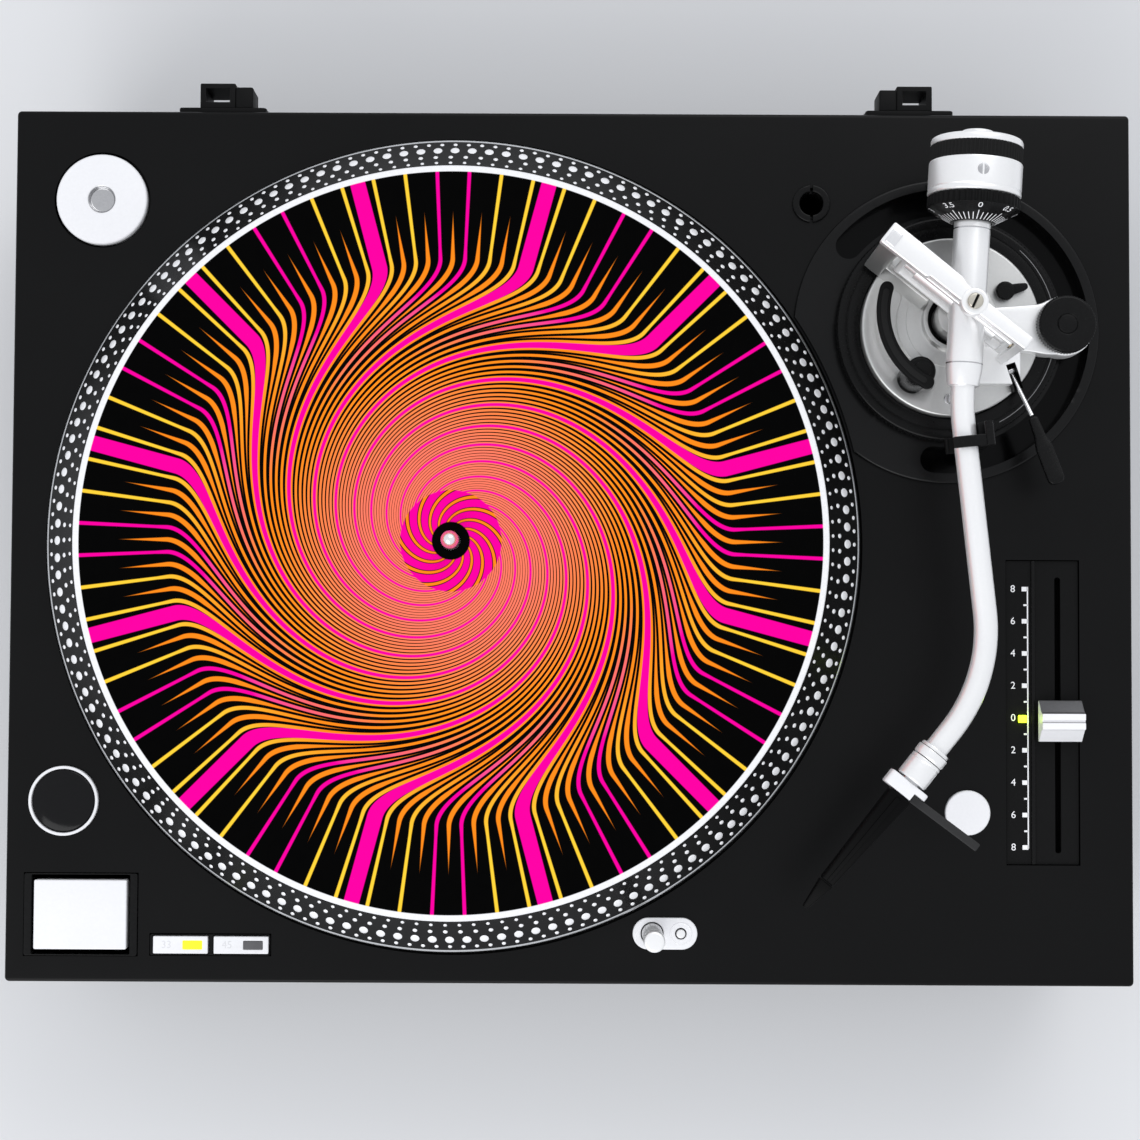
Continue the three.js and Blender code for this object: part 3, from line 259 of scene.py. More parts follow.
def printed_felt(name):
    """Felt printed with plain straight rays at the rim that wind into a spiral, inside a plain border."""
    mat, nt, bsdf, coords = new_material(name)
    r, angle = polar(nt, coords, PLATTER)
    inward = ((r * -1.0 + SPIRAL_RADIUS) / SPIRAL_RADIUS).max(0.0)
    around = ((angle - inward.power(2.0) * WINDING) * (SECTORS / (2 * math.pi)) + 40.0).fract()

    def strands(per_sector, half_width, shift=0.0):
        """Evenly spaced strands, per_sector of them to a sector; the half width is in mm along the arc."""
        space = r * (2 * math.pi / (SECTORS * per_sector))
        return (((around * per_sector + shift).fract() - 0.5).abs() * space).below(half_width, 0.3)

    # The rays fill more of their space further in, and the wedges between them have both ends pointed.
    share = (r * -0.004 + 0.52).max(0.055).min(0.40)
    rays = strands(RAYS, share * r * (2 * math.pi / (SECTORS * RAYS)))
    wedges = strands(RAYS, ((r * -0.05) + 6.4).min(r * 0.09 - 7.6).max(-0.3), 0.5)
    bars = strands(1, (r * 0.036).min(3.0))

    hue = mix(nt, r.below(104.0, 30.0), YELLOW, ORANGE)
    hue = mix(nt, r.below(52.0, 30.0), hue, SALMON)
    hue = mix(nt, (around - 0.5).abs().above(0.333, 0.01) * r.above(86.0, 24.0), hue, PINK)
    colour = mix(nt, wedges, INK, ORANGE)
    colour = mix(nt, rays, colour, hue)
    colour = mix(nt, bars, colour, PINK)
    hub = mix(nt, strands(1, r * 0.10, 0.5), PINK, INK)
    hub = mix(nt, strands(1, r * 0.06, 0.5), hub, ORANGE)
    colour = mix(nt, r.below(HUB_RADIUS, 0.3), colour, hub)
    colour = mix(nt, r.below(7.5, 0.3), colour, INK)
    fibre = noise(nt, coords, 1500.0, 4.0)
    weave = noise(nt, coords, 260.0, 3.0)
    soft = mix(nt, fibre, (0.80, 0.80, 0.82), (0.95, 0.95, 0.96))
    colour = mix(nt, r.above(PRINT_RADIUS, 0.25), colour, soft)
    mul = nt.nodes.new("ShaderNodeMix")
    mul.data_type, mul.blend_type = "RGBA", "MULTIPLY"
    mul.inputs[0].default_value = 0.25
    nt.links.new(colour, mul.inputs[6])
    nt.links.new(mix(nt, fibre, (0.6, 0.6, 0.6), (1, 1, 1)), mul.inputs[7])
    nt.links.new(mul.outputs[2], bsdf.inputs["Base Color"])
    nt.links.new((weave * 0.15 + 0.8).socket, bsdf.inputs["Roughness"])
    bsdf.inputs["Specular IOR Level"].default_value = 0.03
    bump(nt, bsdf, fibre * 0.7 + weave * 0.3, 0.5, 150)
    return mat


def greys(dark, light, blue=0.0):
    """Two greys, both a little bluer by the same amount."""
    return (dark, dark, dark + blue), (light, light, light + blue)


PAINT = surface("plinth_paint", *greys(0.0010, 0.0024, 0.0001), 0.33, spec=0.15, grain=1300, rough_spread=0.06)
BLACK = surface("black_plastic", *greys(0.003, 0.006, 0.0001), 0.5, spec=0.1, depth=30)
SATIN_BLACK = surface("satin_black", *greys(0.003, 0.006, 0.0001), 0.26, spec=0.14)
GLOSS_BLACK = surface("gloss_black", *greys(0.004, 0.006, 0.0005), 0.16, spec=0.12, coat=0.08, depth=0)
GREY_PLASTIC = surface("grey_plastic", *greys(0.015, 0.024, 0.0005), 0.4, spec=0.3)
GLOSS_HOUSING = surface("gloss_housing", *greys(0.0022, 0.004, 0.0001), 0.24, spec=0.2, depth=6)
# Darker black for the sunk faces of the arm base housing: painted shade in the well and channel.
SUNKEN_GLOSS_PAINTED_SHADE = surface("sunken_gloss_painted_shade", *greys(0.0006, 0.0012, 0.0001), 0.14, spec=0.1, depth=6)
# Near-black: the pickup's own plastic, and painted shade in the groove round the hub's pillar.
MATTE_BLACK_AND_PAINTED_SHADE = surface("matte_black_and_painted_shade", *greys(0.0012, 0.0024, 0.0001), 0.4, spec=0.06)
WARM_STEEL = surface("warm_steel", (0.50, 0.47, 0.40), (0.62, 0.59, 0.52), 0.3, metal=0.9)
KNOB = surface("knob_satin", *greys(0.88, 0.94, 0.02), 0.34, metal=0.1)
# Darker metal grey for the fader cap's rear slope: painted shade on the side turned from the light.
KNOB_REAR_PAINTED_SHADE = surface("knob_rear_painted_shade", *greys(0.30, 0.38, 0.01), 0.34, metal=0.8)
FAINT_INK = surface("faint_ink", *greys(0.66, 0.72, 0.02), 0.5, depth=0)
RUBBER = surface("rubber", *greys(0.008, 0.014), 0.82, spec=0.15, grain=600, depth=80)
WHITE = surface("white_plastic", *greys(0.78, 0.86, 0.02), 0.32, coat=0.2)
SATIN_WHITE = surface("satin_white", *greys(0.78, 0.86, 0.02), 0.5, depth=40)
SILVER = surface("satin_silver", *greys(0.90, 0.96), 0.34, metal=0.6, grain=1100, rough_spread=0.07)
POLISHED = surface("polished_metal", (0.88, 0.88, 0.89), (0.95, 0.95, 0.95), 0.2, metal=0.9, depth=0,
                   rough_spread=0.05)
STEEL = surface("steel", *greys(0.50, 0.62, 0.01), 0.25, metal=1.0)
BRASS = surface("brass", (0.45, 0.34, 0.18), (0.62, 0.48, 0.26), 0.3, metal=1.0)
BOARD = surface("solder_mask", (0.01, 0.07, 0.02), (0.02, 0.13, 0.035), 0.4, patches=90, depth=30)
COPPER = surface("enamelled_copper", (0.35, 0.13, 0.05), (0.60, 0.26, 0.11), 0.35, metal=0.9,
                 stretch=(0.05, 0.05, 1.0), depth=80)
IRON = surface("laminated_iron", (0.03, 0.03, 0.032), (0.09, 0.09, 0.095), 0.6, metal=0.4,
               stretch=(0.02, 0.02, 1.0), depth=100)
INK_WHITE = surface("white_ink", (0.82, 0.82, 0.84), (0.95, 0.95, 0.96), 0.5, depth=20)
# Grey for a thin arc on the height ring: a painted highlight.
GREY_PAINTED_HIGHLIGHT = surface("grey_painted_highlight", *greys(0.20, 0.26, 0.005), 0.5, depth=20)
TURNED = turned_metal("turned_platter", PLATTER, (0.74, 0.75, 0.76))
# Greyer satin metal: the arm-base disc's own tone, and painted shade on the gimbal's left leg and web.
GREY_SATIN_AND_PAINTED_SHADE = surface("grey_satin_and_painted_shade", *greys(0.58, 0.66, -0.01), 0.36, metal=0.85)
DOTS = surface("polished_dots", (0.90, 0.90, 0.92), (0.97, 0.97, 0.98), 0.35, metal=0.25, depth=0,
               rough_spread=0.08)
LAMP = glowing("lit_yellow", (0.80, 0.95, 0.01), 0.9)
PITCH_GLOW = glowing("lit_green_yellow", (0.62, 0.95, 0.02), 3.5)
DARK_LAMP = glowing("unlit_lens", (0.10, 0.10, 0.105), 0.0)
FELT = printed_felt("printed_felt")

# ---- mesh helpers


def outwards(obj, weld=0.0):
    """Turns every face outwards, after joining points closer than weld metres."""
    bm = bmesh.new()
    bm.from_mesh(obj.data)
    if weld:
        bmesh.ops.remove_doubles(bm, verts=bm.verts, dist=weld)
    bmesh.ops.recalc_face_normals(bm, faces=bm.faces)
    bm.to_mesh(obj.data)
    bm.free()


def link(obj):
    bpy.context.scene.collection.objects.link(obj)
    return obj


def settle(obj, body, node=None, smooth=32):
    """Smooths a piece below the given angle, hands it to its body and hides the node that it stands for."""
    me = obj.data
    for p in me.polygons:
        p.use_smooth = True
    me.set_sharp_from_angle(angle=math.radians(smooth))
    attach(obj, body)
    if node:
        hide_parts(node)


def mesh_object(name, verts, faces, mats, matrix=None, face_mats=None):
    me = bpy.data.meshes.new(name)
    m = matrix or Matrix.Identity(4)
    me.from_pydata([tuple((m @ Vector(v) + LIFT) * MM) for v in verts], [], faces)
    for mat in mats if isinstance(mats, (list, tuple)) else [mats]:
        me.materials.append(mat)
    if face_mats:
        for p, i in zip(me.polygons, face_mats):
            p.material_index = i
    me.validate()
    me.update()
    obj = link(bpy.data.objects.new(name, me))
    outwards(obj)
    return obj


def strips(first, rings, n):
    """Quads between neighbouring rings of n points; the first ring starts at point number first."""
    return [(a + k, a + (k + 1) % n, a + n + (k + 1) % n, a + n + k)
            for a in range(first, first + (rings - 1) * n, n) for k in range(n)]


def fillet(points, radius, closed=True, steps=3):
    """Rounds the corners of a 2-D outline; a third entry on a point is its own radius."""
    out = []
    n = len(points)
    for i, p in enumerate(points):
        here = Vector(p[:2])
        r = p[2] if len(p) > 2 else radius
        if (not closed and i in (0, n - 1)) or r <= 0:
            out.append(tuple(here))
            continue
        a, b = Vector(points[i - 1][:2]) - here, Vector(points[(i + 1) % n][:2]) - here
        reach = min(r, a.length * 0.45, b.length * 0.45)
        start, end = here + a.normalized() * reach, here + b.normalized() * reach
        for k in range(steps + 1):
            u = k / steps
            out.append(tuple(start * (1 - u) ** 2 + here * 2 * u * (1 - u) + end * u * u))
    return out


def corners(x0, x1, y0, y1, radius):
    """Rectangle between two x and two y, with rounded corners."""
    return fillet([(x0, y0), (x1, y0), (x1, y1), (x0, y1)], radius)


def lathe(name, profile, mat, at, segments=96, soft=0.25, band=None, teeth=None):
    """Solid of revolution from [radius, height] points, with its corners rounded; at is a place or a frame.
    band(radius, height) picks a face's material; teeth = (count, depth, least radius) cuts knurls."""
    ring = profile[0][0] > 0
    points = fillet(profile, soft, closed=ring)
    if teeth:
        segments = teeth[0] * 4
    verts, faces, picks, index = [], [], [], []
    for r, z in points:
        if r < 1e-6:
            index.append([len(verts)] * segments)
            verts.append((0, 0, z))
            continue
        row = []
        for k in range(segments):
            a = 2 * math.pi * k / segments
            here = r
            if teeth and r > teeth[2]:
                here = r - teeth[1] * (1.0 if k % 4 in (0, 1) else 0.0)
            row.append(len(verts))
            verts.append((here * math.cos(a), here * math.sin(a), z))
        index.append(row)
    pairs = list(zip(range(len(points)), range(1, len(points)))) + ([(len(points) - 1, 0)] if ring else [])
    for i, j in pairs:
        for k in range(segments):
            n = (k + 1) % segments
            quad = [index[i][k], index[i][n], index[j][n], index[j][k]]
            face = list(dict.fromkeys(quad))
            if len(face) > 2:
                faces.append(face)
                picks.append(band((points[i][0] + points[j][0]) / 2, (points[i][1] + points[j][1]) / 2)
                             if band else 0)
    m = at if isinstance(at, Matrix) else Matrix.Translation((at[0], at[1], 0))
    return mesh_object(name, verts, faces, mat, m, picks)


def circle(r, at=(0, 0), n=64, start=0.0, end=360.0):
    """Points of an arc; a full turn leaves out the repeated last point."""
    full = abs(end - start) > 359.9
    count = n if full else n + 1
    return [(at[0] + r * math.cos(math.radians(start + (end - start) * k / n)),
             at[1] + r * math.sin(math.radians(start + (end - start) * k / n))) for k in range(count)]


def rectangle(w, d, r, at=(0, 0), n=6):
    """Rectangle of a width and a depth about a point, with true arcs of radius r at its corners."""
    pts = []
    for sx, sy, a in ((1, 1, 0), (-1, 1, 90), (-1, -1, 180), (1, -1, 270)):
        pts += circle(r, (at[0] + sx * (w / 2 - r), at[1] + sy * (d / 2 - r)), n, a, a + 90)
    return pts


def arc_band(radius, half, start, end, at, n=48):
    a, b = math.radians(start), math.radians(end)
    pts = circle(radius + half, at, n, start, end)
    pts += circle(half, (at[0] + radius * math.cos(b), at[1] + radius * math.sin(b)), 12, end, end + 180)[1:-1]
    pts += circle(radius - half, at, n, end, start)
    pts += circle(half, (at[0] + radius * math.cos(a), at[1] + radius * math.sin(a)), 12, start + 180,
                  start + 360)[1:-1]
    return pts


def from_curve(name, cu, matrix, mat):
    """One mesh piece from a curve or a text."""
    tmp = link(bpy.data.objects.new(name + "_curve", cu))
    me = bpy.data.meshes.new_from_object(tmp.evaluated_get(bpy.context.evaluated_depsgraph_get()))
    bpy.data.objects.remove(tmp)
    me.transform(matrix)
    me.transform(TO_METRES)
    me.materials.clear()
    me.materials.append(mat)
    return link(bpy.data.objects.new(name, me))


def slab(name, outline, z0, z1, mat, edge=0.0, holes=(), matrix=None, rounds=3):
    """Flat piece with rounded edges, cut to an outline with holes."""
    cu = bpy.data.curves.new(name, "CURVE")
    cu.dimensions, cu.fill_mode = "2D", "BOTH"
    for loop in (outline, *holes):
        s = cu.splines.new("POLY")
        s.points.add(len(loop) - 1)
        for p, q in zip(s.points, loop):
            p.co = (q[0], q[1], 0, 1)
        s.use_cyclic_u = True
    cu.extrude = (z1 - z0) / 2 - edge
    cu.bevel_depth, cu.offset, cu.bevel_resolution = edge, -edge, rounds
    middle = Matrix.Translation((0, 0, (z0 + z1) / 2))
    obj = from_curve(name, cu, (matrix or Matrix.Identity(4)) @ middle, mat)
    outwards(obj, 1e-7)
    return obj


def box(name, x0, x1, y0, y1, z0, z1, mat, matrix=None, bevel=0.0):
    v = [(x, y, z) for z in (z0, z1) for y in (y0, y1) for x in (x0, x1)]
    f = [(0, 2, 3, 1), (4, 5, 7, 6), (0, 1, 5, 4), (2, 6, 7, 3), (0, 4, 6, 2), (1, 3, 7, 5)]
    return rounded(mesh_object(name, v, f, mat, matrix), bevel)


def taper(name, near, far, mat, matrix=None, bevel=0.4):
    """Bar along z with a rectangular section [x0, x1, y0, y1, z] at each end."""
    v = []
    for x0, x1, y0, y1, z in (near, far):
        v += [(x0, y0, z), (x1, y0, z), (x1, y1, z), (x0, y1, z)]
    f = [(0, 1, 2, 3), (4, 7, 6, 5)] + [(i, i + 4, (i + 1) % 4 + 4, (i + 1) % 4) for i in range(4)]
    return rounded(mesh_object(name, v, f, mat, matrix), bevel)


def bake(obj):
    """Replaces a mesh by its own modifiers' result."""
    dg = bpy.context.evaluated_depsgraph_get()
    me = bpy.data.meshes.new_from_object(obj.evaluated_get(dg))
    obj.modifiers.clear()
    obj.data = me
    return obj


def rounded(obj, width, segments=3, angle=35):
    if width <= 0:
        return obj
    mod = obj.modifiers.new("edges", "BEVEL")
    mod.width, mod.segments, mod.use_clamp_overlap = width * MM, segments, True
    mod.limit_method, mod.angle_limit = "ANGLE", math.radians(angle)
    return bake(obj)


def combine(obj, others, kind="DIFFERENCE"):
    for other in others:
        mod = obj.modifiers.new("combine", "BOOLEAN")
        mod.operation, mod.object, mod.solver = kind, other, "EXACT"
        bake(obj)
    for other in others:
        bpy.data.objects.remove(other)
    return obj


def join(name, pieces, body, node, smooth=32):
    """Settles several objects as one piece, each keeping its materials."""
    bm = bmesh.new()
    mats = []
    for o in pieces:
        start = len(bm.faces)
        bm.from_mesh(o.data)
        bm.faces.ensure_lookup_table()
        for i in range(start, len(bm.faces)):
            mat = o.data.materials[bm.faces[i].material_index] if o.data.materials else None
            if mat not in mats:
                mats.append(mat)
            bm.faces[i].material_index = mats.index(mat)
    me = bpy.data.meshes.new(name)
    bm.to_mesh(me)
    bm.free()
    for mat in mats:
        me.materials.append(mat)
    for o in pieces:
        bpy.data.objects.remove(o)
    settle(link(bpy.data.objects.new(name, me)), body, node, smooth)


def rod(name, a, b, radius, mat):
    """Round bar from point a to point b."""
    a, b = Vector(a), Vector(b)
    z = (b - a).normalized()
    x = z.orthogonal().normalized()
    m = axes(x, z.cross(x), z, a)
    length = (b - a).length
    profile = [(0, 0), (radius, 0), (radius, length), (0, length)]
    return lathe(name, profile, mat, m, 32, soft=0.12)


def tint(obj, mat, test):
    """Gives a second material to the faces that pass a test."""
    obj.data.materials.append(mat)
    for face in obj.data.polygons:
        if test(face):
            face.material_index = 1


def label(name, text, size, mat, body, m):
    """Raised number, centred on its frame."""
    cu = bpy.data.curves.new(name, "FONT")
    cu.body, cu.size, cu.extrude = text, size, 0.02
    cu.align_x, cu.align_y = "CENTER", "CENTER"
    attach(from_curve(name, cu, m, mat), body)


def post(name, r, z0, z1, at, mat, soft=0.4, segments=96):
    return lathe(name, [(0, z0), (r, z0), (r, z1), (0, z1)], mat, at, segments, soft=soft)


def cutter(r, z0, z1, at, segments=160):
    return post("cutter", r, z0, z1, at, BLACK, 0, segments)


def hole(x0, x1, y0, y1, z0, z1, matrix=None):
    """Box to cut away."""
    return box("hole", x0, x1, y0, y1, z0, z1, BLACK, matrix)


# ---- plinth, base and feet
top = slab("plinth_shell", rectangle(*PLINTH, 1.8), -PLINTH_DEPTH, 0, PAINT, edge=1.2, rounds=4)
inner = box("inner", -221.5, 221.5, -171.25, 171.25, -60, -10, BLACK)
top = combine(top, [inner])
THROUGH = (-30, 4)
# Wells and holes in the top, and last the window for the terminals in the rear wall.
openings = [cutter(165, -6, 4, PLATTER), cutter(66, -12, 0, PLATTER), cutter(19.5, -5, 4, ADAPTER),
            cutter(14.3, *THROUGH, POWER),
            hole(START[0] - 23.05, START[0] + 23.05, START[1] - 16.7, START[1] + 16.7, *THROUGH),
            hole(-168.45, -119.55, SPEED_Y - 4.5, SPEED_Y + 4.5, *THROUGH), cutter(5.1, *THROUGH, TARGET_POST, 48),
            cutter(3, *THROUGH, TARGET_BUTTON, 48), cutter(9.3, *THROUGH, RESET),
            hole(175.5, 205.2, -128, -5.2, *THROUGH), cutter(6.6, *THROUGH, HOLDER, 64),
            combine(cutter(59.6, *THROUGH, ARM_BASE), [cutter(167.2, -31, 5, PLATTER, 240)]),
            hole(20, 100, 168, 180, -42, -18)]
top = rounded(combine(top, openings), 0.35, 2, 40)
settle(top, "chassis", "plinth_top", 25)

base = slab("rubber_base_shell", rectangle(PLINTH[0] - 4, PLINTH[1] - 4, 4), BASE_BOTTOM, -PLINTH_DEPTH - 0.3,
            RUBBER, edge=1.5)
groove = [slab("g", rectangle(460, 360, 8), z, z + 0.9, RUBBER, holes=[rectangle(447.6, 347.1, 3.5)])
          for z in (-55, -60, -65)]
hollow = box("hollow", -216.5, 216.5, -166.25, 166.25, -62, -40, RUBBER)
settle(combine(base, [*groove, hollow]), "chassis", "rubber_base")

for place, at in FEET.items():
    profile = [(0, -100), (27, -100, 1.2), (27, -97), (26, -95.5), (31, -91, 1.5), (31, -82), (30.2, -81.4),
               (30.2, -80.6), (31, -80), (31, -72.3, 1.5), (29, -70.3), (5, -70.3), (5, -60), (0, -60)]
    settle(lathe("foot_" + place + "_rubber", profile, RUBBER, at, 144, teeth=(72, 0.5, 30.5)), "chassis",
           "foot_" + place)

REAR_FACE = PLINTH[1] / 2 + 0.3
for side, x, s in (("left", HINGE_X[0], 1), ("right", HINGE_X[1], -1)):
    def span(a, b):
        return sorted((x + s * a, x + s * b))
    flange = slab("flange", [(x + s * a, z) for a, z in corners(-17.9, 17.9, -24, -4, 2)], 0, 2.4, BLACK, edge=0.5,
                  matrix=Matrix.Translation((0, REAR_FACE + 2.4, 0)) @ Matrix.Rotation(math.pi / 2, 4, "X"))
    socket = box("socket", *span(-9.2, 5.3), REAR_FACE + 2, REAR_FACE + 12.4, -24, -4, BLACK, bevel=0.6)
    rib = box("rib", *span(5.2, 12.4), REAR_FACE + 2, REAR_FACE + 10.9, -20, -4, BLACK, bevel=0.8)
    mouth = hole(*span(-6.8, 2.9), REAR_FACE + 4.6, REAR_FACE + 10.4, -26, 2)
    socket = combine(socket, [mouth])
    screws = [lathe("s", [(0, 0), (2.6, 0), (2.6, 1), (0, 1.3)], STEEL,
                    Matrix.Translation((x + s * a, REAR_FACE + 2.3, -14)) @ Matrix.Rotation(-math.pi / 2, 4, "X"),
                    32) for a in (-13.6, 15.2)]
    join("hinge_socket_" + side, [flange, socket, rib, *screws], "chassis", "hinge_bracket_" + side)

# ---- platter, slipmat, spindle, adapter
SLOPE_FOOT, SLOPE_HEAD = (162.1, 8.4), (149.4, 22.6)


def platter_band(r, z):
    return 1 if 149 < r < 162 and z > 8.6 else 0


body = lathe("platter_casting", [
    (5.4, 12), (18, 12), (22, 17), (144, 17), (157, -3), (163, -3, 0.8), (163, 7.4, 0.8), (162.4, 8.2, 0.3),
    (*SLOPE_FOOT, 0.2), (*SLOPE_HEAD, 0.3), (149.2, 23.2, 0.2), (5.4, 23.2)],
    [TURNED, SATIN_BLACK], PLATTER, 360, band=platter_band)
SLOPE = (Vector(SLOPE_HEAD) - Vector(SLOPE_FOOT)).normalized()
NORMAL = Vector((SLOPE.y, -SLOPE.x))
DOT_ROWS = ((160.4, 188, 0.85), (157.3, 144, 1.8), (153.7, 161, 0.95), (150.7, 169, 0.75))  # radius, count, size
DOT_RINGS = ((1, -0.02), (0.86, 0.13), (0.45, 0.2))  # share of the size, height above the slope
DOT_TOP = 0.22
DOT_SIDES = 14
verts, faces = [], []
for r, count, size in DOT_ROWS:
    up = (SLOPE_FOOT[0] - r) / (SLOPE_FOOT[0] - SLOPE_HEAD[0])
    centre = Vector(SLOPE_FOOT).lerp(Vector(SLOPE_HEAD), up)
    stretch = 1.25 if size > 1 else 1.15
    for k in range(count):
        a = 2 * math.pi * (k + 0.5 * (count % 2)) / count
        out = Vector((math.cos(a), math.sin(a), 0))
        n = out * NORMAL.x + Vector((0, 0, NORMAL.y))
        u = out * SLOPE.x + Vector((0, 0, SLOPE.y))
        w = n.cross(u)
        mid = Vector((*PLATTER, centre.y)) + out * centre.x
        b = len(verts)
        for scale, height in DOT_RINGS:
            for i in range(DOT_SIDES):
                t = 2 * math.pi * i / DOT_SIDES
                verts.append(mid + (u * math.cos(t) * stretch + w * math.sin(t)) * size * scale + n * height)
        verts.append(mid + n * DOT_TOP)
        faces += strips(b, len(DOT_RINGS), DOT_SIDES)
        last = b + (len(DOT_RINGS) - 1) * DOT_SIDES
        faces += [(last + i, last + (i + 1) % DOT_SIDES, last + DOT_SIDES) for i in range(DOT_SIDES)]
settle(mesh_object("platter_dots", verts, faces, DOTS), "platter_group", smooth=60)
settle(body, "platter_group", "platter", 25)

mat_piece = lathe("slipmat_felt",
                  [(MAT_BORE, MAT_UNDER), (40, MAT_UNDER), (100, MAT_UNDER), (MAT_RADIUS, MAT_UNDER, 0.5),
                   (MAT_RADIUS, MAT_TOP, 0.7), (100, MAT_TOP), (40, MAT_TOP), (MAT_BORE, MAT_TOP, 0.4)], FELT,
                  PLATTER, 288, soft=0)
settle(mat_piece, "mat", "slipmat", 60)
settle(lathe("spindle_pin",
             [(0, -42.5), (3.6, -42.5), (3.6, 9), (5, 10.5), (5, 23), (3.6, 23.2), (3.6, 34.6, 2.4),
              (2.2, 37.6, 2.4), (0, 38.5)], POLISHED, PLATTER), "platter_group", "spindle")

disc = lathe("adapter_disc",
             [(0, -1), (3.7, -1), (3.7, -4.7), (17.8, -4.7), (18.4, -4.1), (18.4, 1.3, 0.8), (17.8, 1.8, 0.8),
              (6, 1.8, 0.6), (5.2, 1.2, 0.3), (4.8, -0.6, 0.4), (0, -0.7)], [SATIN_WHITE, STEEL], ADAPTER, 128,
             band=lambda r, z: 1 if r < 5.7 and z > -0.9 else 0)
settle(disc, "adapter", "adapter_45")

# ---- controls on the left
settle(lathe("power_ring_white", [(12.8, -8), (14, -8), (14, 1.4, 0.4), (12.8, 1.4, 0.4)], WHITE, POWER, 144),
       "chassis", "power_ring")
settle(lathe("power_cap",
             [(0, -12), (10.5, -12), (12.5, -10), (12.5, 0.7, 0.6), (9.4, 1.5, 2), (5, 1.9, 2), (0, 2)],
             GLOSS_BLACK, POWER, 144), "power", "power_button")


def bezel(name, at, w, d, holes, z1, node, z0=-8):
    outer = rectangle(w, d, 0.8, at, 3)
    rings = [rectangle(hw, hd, 0.6, hat, 3) for hat, hw, hd in holes]
    settle(slab(name, outer, z0, z1, SATIN_BLACK, edge=0.2, holes=rings), "chassis", node)


bezel("start_bezel", START, 45.5, 32.8, [(START, 39.6, 31.9)], 0.6, "start_frame")
key = slab("start_key", rectangle(37.2, 27.7, 0.7, START), -7, 1.6, WHITE, edge=0.5)
settle(key, "start", "start_button")
bezel("speed_bezel", (-144, SPEED_Y), 48.3, 8.4, [((x, SPEED_Y), 22.8, 7.7) for x in SPEED_X], 0.4, "speed_frame",
      -6)
for x, name, lens in ((SPEED_X[0], "33", LAMP), (SPEED_X[1], "45", DARK_LAMP)):
    key = slab("speed_key_" + name, rectangle(21.9, 6.9, 0.4, (x, SPEED_Y)), -5, 1.4, WHITE, edge=0.3,
               holes=[rectangle(7.8, 3.5, 0.3, (x + 4.8, SPEED_Y))])
    settle(key, "speed_" + name, "speed_button_" + name)
    window = slab("speed_lens_" + name, rectangle(7.6, 3.3, 0.3, (x + 4.8, SPEED_Y)), -4.6, 1.42, lens, edge=0.12)
    settle(window, "speed_" + name, "speed_lamp_" + name)
    label("speed_number_" + name, name, 4.2, FAINT_INK, "speed_" + name,
          Matrix.Translation((x - 5.6, SPEED_Y, 1.41)))

stadium = rectangle(25.9, 12.7, 6.3, TARGET_PLATE, 20)
plate = slab("target_plate", stadium, 0.3, 1.5, WHITE, edge=0.5,
             holes=[circle(4.6, TARGET_POST, 48), circle(2.3, TARGET_BUTTON, 32)])
dish = lathe("target_dish", [(2.3, 1), (3.4, 1.15), (4.3, 1.75), (4.6, 1.55), (2.3, 0.8)], WHITE, TARGET_BUTTON,
             64, soft=0.1)
join("target_plate_white", [plate, dish], "chassis", "target_light_plate")
settle(lathe("target_post_metal",
             [(0, -30), (4.15, -30), (4.15, 20), (4, 20.2), (4, 21.4), (4.15, 21.6), (4.15, 28.4, 0.6),
              (3.4, 29, 0.5), (0, 29)], SILVER, TARGET_POST), "target_light", "target_light_post")
settle(post("target_release", 1.8, -5, 2.2, TARGET_BUTTON, SILVER, 0.5, 48), "target_release",
       "target_light_button")
settle(lathe("reset_key", [(0, -6), (9, -6), (9, 1.7, 0.6), (8.4, 2.1, 0.5), (0, 2.1)], WHITE, RESET, 128),
       "reset", "reset_button")

# ---- pitch fader
PX0, PX1, PY0, PY1 = 175.8, 204.9, -127.7, -5.5  # the sunk panel
SLOT_X = 196.6
PITCH_LAMP = (182.2, -69.3)
panel = slab("pitch_plate", [(PX0, PY0), (PX1, PY0), (PX1, PY1), (PX0, PY1)], -4.2, -1.2, BLACK,
             holes=[rectangle(2.4, 111.1, 1.1, (SLOT_X, -67.65)), rectangle(4, 3.6, 0.4, PITCH_LAMP, 3)])
rib = box("rib", 185.9, 187.4, PY0, PY1, -1.5, -0.3, SATIN_BLACK, bevel=0.25)
marks = [box("rail", 184.3, 184.8, -121.5, -16, -1.3, -1.17, INK_WHITE)]
for unit in (*range(-8, 0), *range(1, 9)):
    y = SCALE_ZERO + SCALE_STEP * unit
    thick, start = (0.35, 182.9) if unit % 2 else (0.9, 182.2)
    marks.append(box("tick", start, 184.5, y - thick, y + thick, -1.3, -1.17, INK_WHITE))
join("pitch_plate_marked", [panel, rib, *marks], "chassis", "pitch_panel")
for unit in range(-8, 9, 2):
    label("pitch_digit_%d" % (unit + 8), str(abs(unit)), 4, INK_WHITE, "chassis",
          Matrix.Translation((178.6, SCALE_ZERO + SCALE_STEP * unit, -1.17)))
settle(slab("pitch_lamp_lens", rectangle(3.2, 3, 0.4, (182.4, -69.3), 3), -2.4, -0.7, PITCH_GLOW, edge=0.2),
       "chassis", "pitch_lamp")

